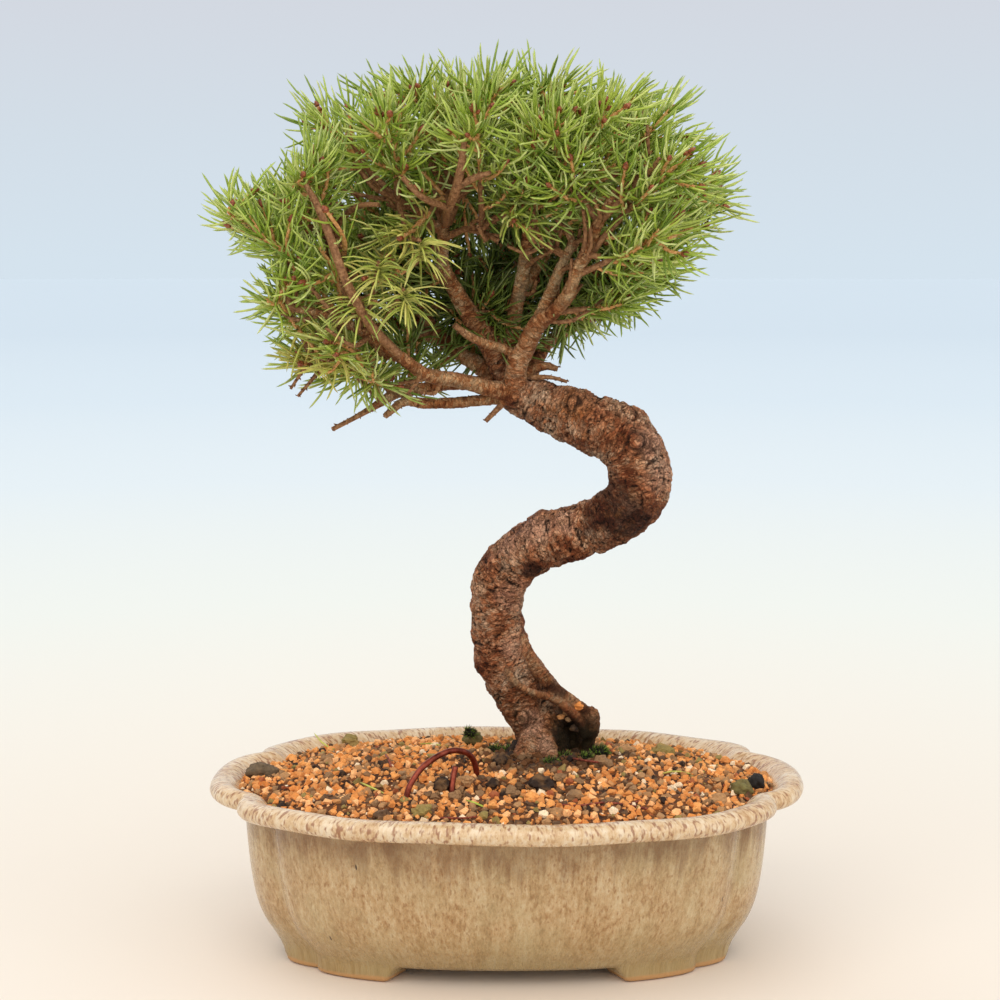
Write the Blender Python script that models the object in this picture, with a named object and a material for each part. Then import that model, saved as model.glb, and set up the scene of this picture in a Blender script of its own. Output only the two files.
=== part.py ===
"""A small spruce bonsai with an S-shaped trunk, in a lobed oval glazed pot filled with grit.

Run it with: blender --background --python part.py
Metres, +Z up. The origin is on the surface that the pot stands on, below the middle of the pot.
X runs along the pot's long side, and the viewer of the tree's front stands at -Y.
"""

import math

import bmesh
import bpy
import numpy as np
from mathutils import Matrix, Vector

MM = 0.001
GAP = 0.35 * MM

# The pot: a lobed oval with a rolled lip, standing on four corner feet.
POT_HALF_LENGTH = 100 * MM
POT_HALF_DEPTH = 69.5 * MM
OVAL_POWER = 2.25
NOTCH_ANGLE = 23
NOTCH_WIDTH = 5
FOOT_HEIGHT = 5.6 * MM
FOOT_WIDTH = 11 * MM
FRONT_FEET_FROM = 40 * MM
END_FEET_FROM = 13 * MM
FOOT_RAMP = 3.5 * MM
FLOOR_Z = 13 * MM
# Each level is (inset from the rim's edge along X, the same along Y, height, notch as a share of the
# outline, notch angle in degrees), with lengths in mm.
FOOT_LEVEL = (23, 32.5, 0, 0.055, 32)
OUTER_WALL = [(22.2, 31.2, 5.8, 0.055, 32), (20.4, 28.4, 9.5, 0.05, 31.5), (17.4, 24.4, 14.5, 0.045, 31),
              (14.8, 20.4, 22, 0.04, 30), (13.1, 16.8, 33, 0.04, 29), (12.1, 13.8, 45, 0.04, 28),
              (11.6, 12.2, 52.8, 0.045, 27)]
LIP = [(6.2, 6.2, 53.2, 0.06, 24), (2, 2, 54.4, 0.065, 23), (0, 0, 57.4, 0.065, 23), (0.9, 0.9, 60.6, 0.065, 23),
       (3.6, 3.6, 62, 0.06, 23.5)]
INNER_WALL = [(6.8, 6.8, 61.2, 0.055, 24.5), (10.8, 10.8, 57.4, 0.05, 26), (18, 19, 47, 0.04, 28),
              (22, 27, 26, 0.04, 30), (29, 37, 13, 0.04, 31)]
QUADRANT = [0, 9, 12.6, 18, 21, 23, 25, 29, 36, 46, 57, 60.4, 74, 90]
DRAIN_X = 38 * MM
DRAIN_RADIUS = 7 * MM
SCREEN_SIDE = 22 * MM
SCREEN_THICKNESS = 0.9 * MM

# The grit: it fills the pot and rises in a low mound to the trunk.
SOIL_SIDE = [(29.5, 37.5, 13.5, 0.04, 31), (22.5, 27.5, 26, 0.04, 30), (18.5, 19.5, 47, 0.04, 28),
             (11.5, 11.5, 57.4, 0.05, 26), (10.4, 10.4, 58.5, 0.05, 25.5)]
SOIL_QUADRANT = [0, 9, 18, 23, 29, 38, 48, 60, 74, 90]
MOUND_HEIGHT = 8 * MM
SOIL_RINGS = 8
GRAIN_RELIEF = 1.3 * MM

# The trunk, as (x, y, z, radius) in mm from the roots up.
TRUNK = [(13, 17, 36, 9.5), (13, 17, 52, 9.8), (13, 16, 64, 9.6), (11, 14, 75, 8.8), (4, 12, 87, 8.9),
         (-1, 10, 99, 9.4), (-3, 8, 111, 8.8), (-3, 6, 121, 8.8), (0, 4, 130, 9.2), (6, 2, 136.5, 9.1),
         (13, 0, 140.5, 9.3), (22, -2, 143.5, 9.0), (31, -3, 147, 9.1), (39, -5, 152, 9.7),
         (43.5, -6, 159, 10.2), (43.5, -6, 166, 10.2), (41, -6, 172, 9.9), (36, -5, 176.5, 9.6),
         (30, -4, 179.5, 9.3), (23, -2, 182, 8.9), (16, 0, 184.5, 8.2), (10, 2, 187, 7.5),
         (5, 3, 190, 6.8), (1, 4, 194, 5.4)]
TRUNK_SIDES = 12
TRUNK_STEPS = 2
# Swellings on the trunk, as (x, y, z, reach, height) in mm: healed cuts, a burl and the outsides of bends.
KNOTS = [(39, -15, 185, 4.5, 1.8), (42, -15, 176, 4.0, 1.3), (24, -9, 187, 5.5, 1.6), (-9, 2, 129, 5.0, 1.2),
         (-11, 8, 97, 3.0, 1.6), (12, 0, 150, 3.5, 1.3), (46, -15, 158, 4.0, 0.9), (38, -15, 150, 4.0, 0.9),
         (45, -4, 183, 5.0, 1.0), (8, 8, 71, 6.0, 0.8)]

# Roots and limbs, as (x, y, z, radius) in mm, each rooted well inside what it grows from.
ROOTS = {
    "aerial": [(4, 6, 106, 3.4), (11, 5, 98, 3.4), (18, 6, 89, 3.6), (24, 8, 83, 3.6), (29, 10, 79, 3.9),
               (30.5, 12, 73, 4.1), (28, 13, 66, 3.9), (26, 14, 56, 3.2)],
    "front": [(13, 12, 78, 5.6), (9, 6, 71, 5.0), (5, 1, 65.5, 3.6), (1, -3, 60, 2.4)],
}
LIMBS = {
    "left": [(6, 1, 190, 4.0), (-6, -3, 192, 2.7), (-16, -8, 195, 2.5), (-26, -14, 197, 2.2),
             (-34, -20, 203, 1.9), (-47, -26, 212, 1.6), (-58, -30, 217, 1.4), (-68, -32, 219, 1.2)],
    "low_left": [(6, 3, 189, 3.2), (-6, 2, 188, 2.0), (-17, 0, 187, 1.9), (-28, -2, 187, 1.8),
                 (-34, -4, 187.6, 1.6), (-40, -7, 183, 1.0)],
    "far_left": [(4, 8, 192, 3.6), (-16, 8, 193, 2.3), (-27, 4, 191.6, 2.1), (-36, 1, 190.4, 2.0),
                 (-41, -3, 187.6, 1.5), (-49, -6, 183, 0.9), (-57, -10, 179, 0.8)],
    "far_left_rise": [(-35, 1, 190, 1.8), (-42, -5, 195, 1.6), (-48, -10, 202, 1.4), (-55, -14, 206, 1.1),
                      (-63, -18, 204, 0.9)],
    "leader": [(3, 5, 191, 5.2), (-6, 8, 207, 4.0), (-13, 8, 217, 3.3), (-17, 6, 224, 2.7), (-21, 4, 232, 2.3),
               (-21, 2, 240, 2.1), (-20, 0, 249, 2.0), (-17, -3, 257, 1.7), (-15, -7, 265, 1.3),
               (-12, -12, 274, 1.0)],
    "leader_stub": [(-19, -1, 251, 1.5), (-14, -5, 258, 1.3), (-9, -9, 263, 1.2)],
    "leader_left": [(-21, 2, 243, 1.6), (-28, -6, 249, 1.3), (-35, -14, 253, 1.1), (-42, -20, 257, 1.0),
                    (-48, -26, 264, 0.8)],
    "leader_right": [(-21, 2, 241, 1.4), (-13, -7, 244, 1.0), (-8, -13, 243, 0.9), (-3, -19, 240, 0.8)],
    "mid_left": [(3, 8, 191, 4.4), (-10, 15, 199, 3.0), (-18, 19, 204, 2.6), (-25, 20, 211, 2.1),
                 (-30, 22, 220, 1.7), (-36, 24, 232, 1.3), (-42, 26, 246, 1.0)],
    "mid_left_out": [(-21, 19, 207, 1.9), (-37, 26, 212, 1.5), (-51, 30, 222, 1.2), (-62, 30, 235, 0.9)],
    "left_rise": [(-35, -20, 203, 1.8), (-42, -15, 206, 1.6), (-50, -13, 220, 1.5), (-55, -14, 233, 1.4),
                  (-57, -16, 245, 1.2), (-59, -18, 256, 1.0)],
    "right": [(3, 1, 187, 4.8), (3, -2, 198, 3.7), (6, -4, 205, 3.3), (10, -8, 213, 3.0), (15, -12, 217, 2.4),
              (19, -16, 222, 2.2), (22, -20, 229, 2.0), (25, -22, 236, 2.1), (29, -26, 246, 1.8),
              (34, -30, 255, 1.5)],
    "right_twin": [(7, -5, 208, 2.8), (12, -7, 218, 2.2), (16, -9, 228, 1.9), (19, -11, 235, 1.7),
                   (21, -14, 240, 1.3), (17, -17, 246, 1.2), (13, -20, 252, 1.1), (11, -22, 261, 0.9)],
    "right_stub": [(24, -21, 236, 1.4), (29, -26, 235, 1.0)],
    "right_inner": [(19, -11, 235, 1.3), (13, -14, 238.5, 1.0), (8, -17, 240, 0.8)],
    "right_out": [(30, -27, 248, 1.3), (33, -29, 254, 1.2), (39, -32, 258, 1.0), (46, -35, 261, 0.9)],
    "right_back": [(5, 6, 190, 3.6), (13, 18, 205, 2.3), (24, 26, 212, 2.0), (35, 30, 220, 1.7),
                   (47, 31, 230, 1.4), (55, 29, 238, 1.1)],
    "back": [(3, 8, 190, 3.8), (2, 28, 206, 2.8), (0, 38, 222, 2.4), (-3, 42, 240, 1.8), (-3, 42, 256, 1.3)],
    "back_left": [(2, 8, 190, 3.4), (-13, 30, 204, 2.3), (-31, 42, 214, 1.8), (-50, 44, 226, 1.2)],
    "centre": [(3, 5, 192, 4.2), (2, 8, 211, 2.8), (5, 6, 227, 2.3), (7, 2, 244, 1.9), (5, -3, 260, 1.4),
               (4, -8, 272, 1.0)],
    "centre_right": [(4, 7, 222, 2.2), (16, 14, 240, 1.7), (29, 17, 256, 1.3), (37, 16, 270, 1.0)],
    "dead_twig": [(5, 1, 202, 1.6), (-1, -3, 205, 1.6), (-10, -8, 208, 1.5), (-17, -12, 213, 1.0)],
    "dead_stub": [(5, 3, 196, 2.2), (12, 3, 199, 1.6), (17, 3, 198, 1.0)],
    "thin_stub": [(6, 1, 195, 1.4), (14, -1, 195.5, 0.8), (20, -1, 194, 0.6)],
    "low_stub": [(1, 1, 189, 1.6), (-3, -1, 185, 1.0), (-7, -2, 181, 0.8)],
}
THICK_LIMB = 1.9 * MM

# The crown: the outline of the leafy stems' tips seen from the front, as (x, z) in mm, and its depth.
CROWN_CENTRE = (-11, 3, 247)
CROWN_OUTLINE = [(-91, 247), (-83, 258), (-76, 270), (-67, 280), (-53, 288), (-40, 292), (-22, 295), (-2, 298),
                 (17, 297), (34, 294), (50, 292), (60, 278), (68, 262), (74, 245), (70, 230), (58, 222),
                 (44, 214), (30, 208), (14, 206), (-4, 204), (-24, 198), (-46, 193), (-62, 192), (-74, 198),
                 (-83, 212), (-89, 230)]
CROWN_HALF_DEPTH = 60
SHELL_SPRAYS = 42
GOLDEN_ANGLE = math.pi * (3 - math.sqrt(5))
# The open front, where limbs show: no spray of the shell lies in this window, in mm.
WINDOW_X = (-38, 46)
WINDOW_Z = (190, 268)
WINDOW_Y = -4
# Sprays that hang in and around that window, as the tip (x, y, z) in mm and the way each points.
FRONT_SPRAYS = [((-90, -34, 248), (-0.8, -0.1, 0.55)), ((-82, -36, 224), (-0.9, -0.3, 0.15)),
                ((-33, -34, 236), (-0.2, -0.6, -0.45)), ((-44, -34, 222), (-0.4, -0.7, -0.3)),
                ((-28, -38, 252), (-0.3, -0.8, 0.1)), ((10, -34, 272), (0.0, -0.4, 0.9)),
                ((2, -34, 243), (0.1, -0.7, -0.5)), ((56, -40, 262), (0.7, -0.5, 0.3)),
                ((-66, -38, 262), (-0.5, -0.5, 0.6)), ((-70, -16, 196), (-0.7, -0.3, -0.4)),
                ((30, -40, 280), (0.2, -0.6, 0.75)), ((-10, -46, 278), (-0.1, -0.7, 0.65)),
                ((-58, -38, 232), (-0.5, -0.8, 0.2)), ((-56, -34, 203), (-0.5, -0.7, -0.4))]
TWIG_RADIUS = 0.85 * MM
SHOOT_RADIUS = 0.7 * MM
SHOOT_TIP_RADIUS = 0.45 * MM
LEAFY_LENGTH = 24 * MM
LATERALS = [(0.55, 1, 12 * MM), (0.25, -1, 13.5 * MM)]
LATERAL_ANGLE = math.radians(52)
NEEDLE_LENGTH = 10.5 * MM
NEEDLE_RADIUS = 0.45 * MM
NEEDLE_PITCH = 2.9 * MM
NEEDLE_LEAN = math.radians(54)
NEEDLE_TWIST = math.radians(31)
NEEDLE_SHARES = (1.0, 0.75, 0.5)
JOINT_REACH = 2.3 * MM
CLEARANCE = 0.4 * MM

# Tie wire and loose stones on the grit, in mm.
WIRE_RADIUS = 1.0 * MM
WIRES = {
    "tie_wire_arch": [(-33, -39, 52), (-32, -38, 64), (-29, -35.5, 70), (-25, -32, 73.4), (-20, -28, 75.4),
                      (-16, -24.5, 75.2), (-12, -20.5, 72.6), (-10, -18.5, 67), (-9.5, -18, 55)],
    "tie_wire_leg": [(-16.6, -29.5, 71.2), (-17.4, -31, 67.5), (-17.8, -33, 63), (-18, -34, 50)],
}
STONES = {
    "stone_mossy": ((-12, 30, 66.2), (3.4, 3.0, 3.0)),
    "stone_flat_left": ((-83.5, 4, 61.0), (5.8, 4.0, 2.6)),
    "stone_dark_right": ((83, -12, 61.0), (2.9, 2.6, 3.2)),
    "stone_olive_right": ((77.5, -18, 60.8), (3.6, 3.0, 2.7)),
}

GLAZE = ("pot_glaze", (0.56, 0.49, 0.36), 0.35)
GRIT = ("grit", (0.55, 0.30, 0.10), 0.95)
BARK = ("bark", (0.24, 0.12, 0.07), 0.9)
LEAF = ("needles", (0.16, 0.30, 0.05), 0.55)
WIRE = ("copper_coated_wire", (0.25, 0.08, 0.06), 0.35)
STONE = ("stone", (0.14, 0.13, 0.09), 0.85)
MESH = ("drain_mesh", (0.05, 0.05, 0.05), 0.6)


# General helpers

def clear_scene():
    for obj in list(bpy.data.objects):
        bpy.data.objects.remove(obj)


def material(name, colour, roughness, metallic=0.0):
    made = bpy.data.materials.get(name) or bpy.data.materials.new(name)
    made.use_nodes = True
    shader = made.node_tree.nodes["Principled BSDF"]
    shader.inputs["Base Color"].default_value = (*colour, 1)
    shader.inputs["Roughness"].default_value = roughness
    shader.inputs["Metallic"].default_value = metallic
    return made


def link(name, mesh, collection, finish=None):
    obj = bpy.data.objects.new(name, mesh)
    collection.objects.link(obj)
    if finish:
        mesh.materials.clear()
        mesh.materials.append(material(*finish))
    return obj


def mesh_from(bm, name):
    bmesh.ops.recalc_face_normals(bm, faces=bm.faces)
    mesh = bpy.data.meshes.new(name)
    bm.to_mesh(mesh)
    bm.free()
    return mesh


def loft(name, rings):
    """A closed solid through rings with the same number of points, its two ends filled."""
    bm = bmesh.new()
    rows = [[bm.verts.new(point) for point in ring] for ring in rings]
    for low, high in zip(rows, rows[1:]):
        for i in range(len(low)):
            j = (i + 1) % len(low)
            bm.faces.new((low[i], low[j], high[j], high[i]))
    bm.faces.new(rows[0])
    bm.faces.new(rows[-1])
    return mesh_from(bm, name)


def applied(obj):
    """Replaces the object's mesh by what its modifiers make of it."""
    graph = bpy.context.evaluated_depsgraph_get()
    made = bpy.data.meshes.new_from_object(obj.evaluated_get(graph))
    obj.modifiers.clear()
    obj.data = made
    return obj


def boolean(obj, tools, operation, solver="MANIFOLD"):
    """Joins the tools to obj, or cuts them from it, and removes them."""
    together = bpy.data.collections.new("tools")
    bpy.context.scene.collection.children.link(together)
    for tool in tools:
        for owner in list(tool.users_collection):
            owner.objects.unlink(tool)
        together.objects.link(tool)
    modifier = obj.modifiers.new(operation.lower(), "BOOLEAN")
    modifier.operation = operation
    modifier.operand_type = "COLLECTION"
    modifier.collection = together
    modifier.solver = solver
    bpy.context.view_layer.update()
    applied(obj)
    for tool in list(together.objects):
        bpy.data.objects.remove(tool)
    bpy.data.collections.remove(together)
    return obj


def drop_scraps(obj):
    """Keeps only the largest part of a mesh whose faces join along edges."""
    bm = bmesh.new()
    bm.from_mesh(obj.data)
    left = set(bm.faces)
    parts = []
    while left:
        part = {left.pop()}
        border = list(part)
        while border:
            border = {face for inner in border for edge in inner.edges for face in edge.link_faces} - part
            part |= border
        left -= part
        parts.append(part)
    parts.sort(key=len)
    for part in parts[:-1]:
        bmesh.ops.delete(bm, geom=list(part), context="FACES")
    bm.to_mesh(obj.data)
    bm.free()


def in_metres(rows):
    """Splits rows of (x, y, z, radius) in mm into points and radii in metres."""
    points = [Vector(row[:3]) * MM for row in rows]
    radii = [row[3] * MM for row in rows]
    return points, radii


def smooth_path(points, radii, steps):
    """A Catmull-Rom curve through the points, with the radii following."""
    ends = [2 * points[0] - points[1], *points, 2 * points[-1] - points[-2]]
    path, sizes = [], []
    for k in range(len(points) - 1):
        a, b, c, d = ends[k:k + 4]
        for step in range(steps):
            t = step / steps
            path.append(0.5 * (2 * b + (c - a) * t + (2 * a - 5 * b + 4 * c - d) * t ** 2
                               + (3 * b - a - 3 * c + d) * t ** 3))
            sizes.append(radii[k] + (radii[k + 1] - radii[k]) * t)
    return [*path, points[-1]], [*sizes, radii[-1]]


def frames(path):
    """(point, tangent, side, up) along a path, turned as little as possible from one to the next."""
    found = []
    side = None
    for k, point in enumerate(path):
        tangent = (path[min(k + 1, len(path) - 1)] - path[max(k - 1, 0)]).normalized()
        if side is None:
            across = Vector((0, 1, 0)) if abs(tangent.y) < 0.9 else Vector((1, 0, 0))
            side = tangent.cross(across).normalized()
        else:
            side = (side - tangent * side.dot(tangent)).normalized()
        found.append((point, tangent, side, tangent.cross(side)))
    return found


def tube(path, radii, sides, twist=0.0, swell=None):
    """Rings of points round a path. swell returns how far a point stands out of the plain tube."""
    rings = []
    for k, (point, _, side, up) in enumerate(frames(path)):
        ring = []
        for i in range(sides):
            turn = 2 * math.pi * i / sides + twist * k
            out = side * math.cos(turn) + up * math.sin(turn)
            place = point + out * radii[k]
            ring.append(place + out * swell(place) if swell else place)
        rings.append(ring)
    return rings


def round_bar(name, points, radii, resolution, collection):
    """A round bar along the points, from a bevelled curve made into a closed mesh."""
    curve = bpy.data.curves.new(name, "CURVE")
    curve.dimensions = "3D"
    curve.bevel_depth = 1.0
    curve.bevel_resolution = resolution
    curve.use_fill_caps = True
    spline = curve.splines.new("POLY")
    spline.points.add(len(points) - 1)
    for knot, point, radius in zip(spline.points, points, radii):
        knot.co = (*point, 1)
        knot.radius = radius
    source = bpy.data.objects.new(name + "_line", curve)
    collection.objects.link(source)
    graph = bpy.context.evaluated_depsgraph_get()
    mesh = bpy.data.meshes.new_from_object(source.evaluated_get(graph))
    bpy.data.objects.remove(source)
    bm = bmesh.new()
    bm.from_mesh(mesh)
    bmesh.ops.remove_doubles(bm, verts=bm.verts, dist=0.01 * MM)
    return link(name, mesh_from(bm, name), collection)


def wobble(index, draw):
    """A fixed pseudo-random number from 0 to 1 for a piece's index and the number of the draw."""
    value = math.sin(index * 12.9898 + draw * 78.233) * 43758.5453
    return value - math.floor(value)


# The pot

def turned(quadrant):
    """The angles of a whole turn from those of its first quadrant, in degrees."""
    turn = set()
    for angle in quadrant:
        turn |= {angle % 360, (180 - angle) % 360, (180 + angle) % 360, (360 - angle) % 360}
    return sorted(turn)


def plan(degrees, level):
    """A point of the pot's lobed outline at a level, seen from above. Its notch sits at the level's own angle."""
    inset_x, inset_y, _, notch, notch_at = level
    folded = min(degrees % 180, -degrees % 180)
    if folded < NOTCH_ANGLE:
        moved = folded * notch_at / NOTCH_ANGLE
    else:
        moved = 90 - (90 - folded) * (90 - notch_at) / (90 - NOTCH_ANGLE)
    dip = 1 - notch * math.exp(-abs(folded - NOTCH_ANGLE) / NOTCH_WIDTH)
    across = math.cos(math.radians(moved)) ** (2 / OVAL_POWER) * dip
    deep = math.sin(math.radians(moved)) ** (2 / OVAL_POWER) * dip
    x = math.copysign(POT_HALF_LENGTH - inset_x * MM, math.cos(math.radians(degrees))) * across
    y = math.copysign(POT_HALF_DEPTH - inset_y * MM, math.sin(math.radians(degrees))) * deep
    return x, y


def outline(angles, level):
    return [(*plan(degrees, level), level[2] * MM) for degrees in angles]


def foot_z(degrees):
    """The height of the foot ring's lower edge: down at the four corners, raised between them."""
    x, y = plan(degrees, FOOT_LEVEL)
    if min(degrees % 180, -degrees % 180) > NOTCH_ANGLE:
        raised = (FRONT_FEET_FROM - abs(x)) / FOOT_RAMP
    else:
        raised = (END_FEET_FROM - abs(y)) / FOOT_RAMP
    return FOOT_HEIGHT * min(max(raised, 0), 0.9)


def foot_ring(angles, inward):
    inset_x, inset_y, *rest = FOOT_LEVEL
    return [(*plan(degrees, (inset_x + inward, inset_y + inward, *rest)), foot_z(degrees)) for degrees in angles]


def drain_cutters(collection):
    cutters = []
    for x in (-DRAIN_X, DRAIN_X):
        bpy.ops.mesh.primitive_cylinder_add(vertices=12, radius=DRAIN_RADIUS, depth=4 * FLOOR_Z, location=(x, 0, 0))
        cutter = bpy.context.object
        for owner in list(cutter.users_collection):
            owner.objects.unlink(cutter)
        collection.objects.link(cutter)
        cutters.append(cutter)
    return cutters


def make_pot(collection):
    angles = turned(QUADRANT)
    inset_x, inset_y, _, *rest = FOOT_LEVEL
    recess = FOOT_WIDTH / MM + 1
    under = [outline(angles, (inset_x + recess, inset_y + recess, FOOT_HEIGHT / MM, *rest)),
             foot_ring(angles, FOOT_WIDTH / MM), foot_ring(angles, 0)]
    walls = [outline(angles, level) for level in OUTER_WALL + LIP + INNER_WALL]
    pot = link("pot", loft("pot", under + walls), collection, GLAZE)
    boolean(pot, drain_cutters(collection), "DIFFERENCE", "EXACT")


def make_screens(collection):
    for name, x in (("drain_mesh_left", -DRAIN_X), ("drain_mesh_right", DRAIN_X)):
        z = FLOOR_Z + GAP + SCREEN_THICKNESS / 2
        bpy.ops.mesh.primitive_cube_add(size=1, location=(x, 0, z))
        screen = bpy.context.object
        screen.name = name
        screen.data.transform(Matrix.Diagonal((SCREEN_SIDE, SCREEN_SIDE, SCREEN_THICKNESS, 1)))
        for owner in list(screen.users_collection):
            owner.objects.unlink(screen)
        collection.objects.link(screen)
        screen.data.materials.append(material(*MESH))


# The wood

def bark_swell(place):
    """Low lumps all over the trunk, and the knots, in metres."""
    x, y, z = place / MM
    lumps = math.sin(0.55 * x + 0.31 * z) * math.sin(0.47 * y - 0.38 * z + 1.7)
    lumps += 0.6 * math.sin(0.9 * x - 0.8 * y + 0.7 * z)
    raised = 0.45 * lumps
    for kx, ky, kz, reach, height in KNOTS:
        near = ((x - kx) ** 2 + (y - ky) ** 2 + (z - kz) ** 2) / reach ** 2
        raised += height * math.exp(-near)
    above_soil = min(max((z - 72) / 6, 0), 1)
    return raised * above_soil * MM


def trunk_rings(extra, swell):
    path, radii = smooth_path(*in_metres(TRUNK), TRUNK_STEPS)
    return tube(path, [radius + extra for radius in radii], TRUNK_SIDES, swell=swell)


def woody_paths():
    """Every root and limb as a smooth path with its radii."""
    return {name: in_metres(rows) for name, rows in {**ROOTS, **LIMBS}.items()}


def make_tree(plans, collection):
    tree = link("tree", loft("tree", trunk_rings(0, bark_swell)), collection, BARK)
    bars = [round_bar(name, path, radii, 1 if sum(radii) / len(radii) > THICK_LIMB else 0, collection)
            for name, (path, radii) in woody_paths().items()]
    for spray in plans:
        path, radii = spray["twig"]
        bars.append(round_bar(spray["name"] + "_twig", path, radii, 0, collection))
    boolean(tree, bars, "UNION")
    tree.data.materials.clear()
    tree.data.materials.append(material(*BARK))


def soil_cutters(collection):
    """The holes that the trunk, the roots, the wires, the stones and the screens need in the grit."""
    cutters = [link("trunk_hole", loft("trunk_hole", trunk_rings(GAP, None)[:8]), collection)]
    for name, rows in ROOTS.items():
        path, radii = in_metres(rows)
        path[-1] = path[-1] + (path[-1] - path[-2]).normalized() * GAP
        wide = [radius + 1.6 * GAP for radius in radii]
        cutters.append(round_bar(name + "_hole", path, wide, 1, collection))
    for name, rows in WIRES.items():
        path = [Vector(row) * MM for row in rows]
        path[-1] = path[-1] - Vector((0, 0, GAP))
        path[0] = path[0] - Vector((0, 0, GAP)) if name == "tie_wire_arch" else path[0]
        cutters.append(round_bar(name + "_hole", path, [WIRE_RADIUS + GAP] * len(path), 2, collection))
    for name, (centre, radii) in STONES.items():
        cutters.append(stone(name + "_hole", centre, [radius + GAP / MM for radius in radii], collection))
    for x in (-DRAIN_X, DRAIN_X):
        side = SCREEN_SIDE + 2 * GAP
        high = 2 * (SCREEN_THICKNESS + 2 * GAP)
        bpy.ops.mesh.primitive_cube_add(size=1, location=(x, 0, FLOOR_Z))
        cutter = bpy.context.object
        cutter.data.transform(Matrix.Diagonal((side, side, high, 1)))
        cutters.append(cutter)
    return cutters


# The grit, wires and stones

def make_soil(collection):
    angles = turned(SOIL_QUADRANT)
    rings = [outline(angles, level) for level in SOIL_SIDE]
    edge_x, edge_y, edge_z, notch, notch_at = SOIL_SIDE[-1]
    for ring in range(1, SOIL_RINGS):
        share = 1 - ring / SOIL_RINGS
        rise = MOUND_HEIGHT * (1 - share ** 2)
        row = []
        for i, degrees in enumerate(angles):
            x, y = plan(degrees, (edge_x, edge_y, edge_z, notch * share, notch_at))
            grain = GRAIN_RELIEF * (2 * wobble(i + 0.37 * ring, ring) - 1)
            row.append((x * share, y * share, edge_z * MM + rise + grain))
        rings.append(row)
    soil = link("soil", loft("soil", rings), collection, GRIT)
    boolean(soil, soil_cutters(collection), "DIFFERENCE")
    soil.data.materials.clear()
    soil.data.materials.append(material(*GRIT))


def stone(name, centre, radii, collection):
    """A worn pebble: a low ball, flattened, with its corners pushed in and out."""
    bm = bmesh.new()
    bmesh.ops.create_icosphere(bm, subdivisions=2, radius=1)
    for vertex in bm.verts:
        x, y, z = vertex.co
        bump = 1 + 0.07 * math.sin(3.1 * x + 2.2 * z) + 0.06 * math.sin(4.3 * y - 2.9 * x)
        vertex.co = Vector((centre[0] + x * radii[0] * bump, centre[1] + y * radii[1] * bump,
                            centre[2] + z * radii[2] * bump)) * MM
    return link(name, mesh_from(bm, name), collection)


def make_wires_and_stones(collection):
    for name, rows in WIRES.items():
        path = [Vector(row) * MM for row in rows]
        wire = round_bar(name, path, [WIRE_RADIUS] * len(path), 2, collection)
        wire.data.materials.append(material(*WIRE, metallic=0.8))
    for name, (centre, radii) in STONES.items():
        stone(name, centre, radii, collection).data.materials.append(material(*STONE))


# The crown

def crown_reach(turn):
    """How far the leafy stems' tips reach from the crown's centre, seen from the front, in mm."""
    cx, _, cz = CROWN_CENTRE
    polar = sorted((math.atan2(z - cz, x - cx), math.hypot(x - cx, z - cz)) for x, z in CROWN_OUTLINE)
    angles = [angle for angle, _ in polar]
    return float(np.interp(turn, angles, [reach for _, reach in polar], period=2 * math.pi))


def shell_sprays():
    """Tips spread evenly over the crown's shell, and the way each points, leaving the open front free."""
    centre = Vector(CROWN_CENTRE)
    found = []
    for i in range(SHELL_SPRAYS):
        deep = 1 - 2 * (i + 0.5) / SHELL_SPRAYS
        turn = (i * GOLDEN_ANGLE + math.pi) % (2 * math.pi) - math.pi
        flat = math.sqrt(1 - deep ** 2)
        reach = crown_reach(turn) * flat
        offset = Vector((reach * math.cos(turn), CROWN_HALF_DEPTH * deep, reach * math.sin(turn)))
        tip = centre + offset
        low_x, high_x = WINDOW_X
        low_z, high_z = WINDOW_Z
        if tip.y < WINDOW_Y and low_x < tip.x < high_x and low_z < tip.z < high_z:
            continue
        way = Vector((offset.x, offset.y * 1.2, offset.z + 26)).normalized()
        found.append((tip * MM, way))
    return found


def segment_gap(a, b, starts, ends):
    """The shortest distance from segment a-b to each of the segments starts-ends."""
    u, v = b - a, ends - starts
    w = a - starts
    uu, uv, vv = u @ u, v @ u, (v * v).sum(1)
    uw, vw = w @ u, (v * w).sum(1)
    slant = np.maximum(uu * vv - uv ** 2, 1e-18)
    s = np.clip((uv * vw - vv * uw) / slant, 0, 1)
    t = np.clip((uv * s + vw) / np.maximum(vv, 1e-18), 0, 1)
    s = np.clip((uv * t - uw) / max(uu, 1e-18), 0, 1)
    between = w + s[:, None] * u - t[:, None] * v
    return np.sqrt((between ** 2).sum(1))


class Room:
    """The round bars that are already placed, each with its radius and its owner's name."""

    def __init__(self):
        self.starts, self.ends, self.radii, self.owners = [], [], [], []

    def add(self, path, radii, owner):
        for k in range(len(path) - 1):
            self.starts.append(tuple(path[k]))
            self.ends.append(tuple(path[k + 1]))
            self.radii.append(max(radii[k], radii[k + 1]))
            self.owners.append(owner)

    def spare(self, path, radii, ignore=()):
        """The least clear distance between a path and every bar whose owner isn't ignored."""
        keep = np.array([owner not in ignore for owner in self.owners])
        if not keep.any():
            return 1.0
        starts, ends = np.array(self.starts)[keep], np.array(self.ends)[keep]
        sizes = np.array(self.radii)[keep]
        least = 1.0
        for k in range(len(path) - 1):
            gaps = segment_gap(np.array(path[k]), np.array(path[k + 1]), starts, ends) - sizes
            least = min(least, float(gaps.min()) - max(radii[k], radii[k + 1]))
        return least


def bowed(start, finish, way, steps):
    """A stem from start that arrives at finish pointing along way."""
    reach = (finish - start).length
    hold = finish - way * reach * 0.45
    path = []
    for step in range(steps + 1):
        t = step / steps
        path.append(start * (1 - t) ** 2 + hold * 2 * t * (1 - t) + finish * t ** 2)
    return path


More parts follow.
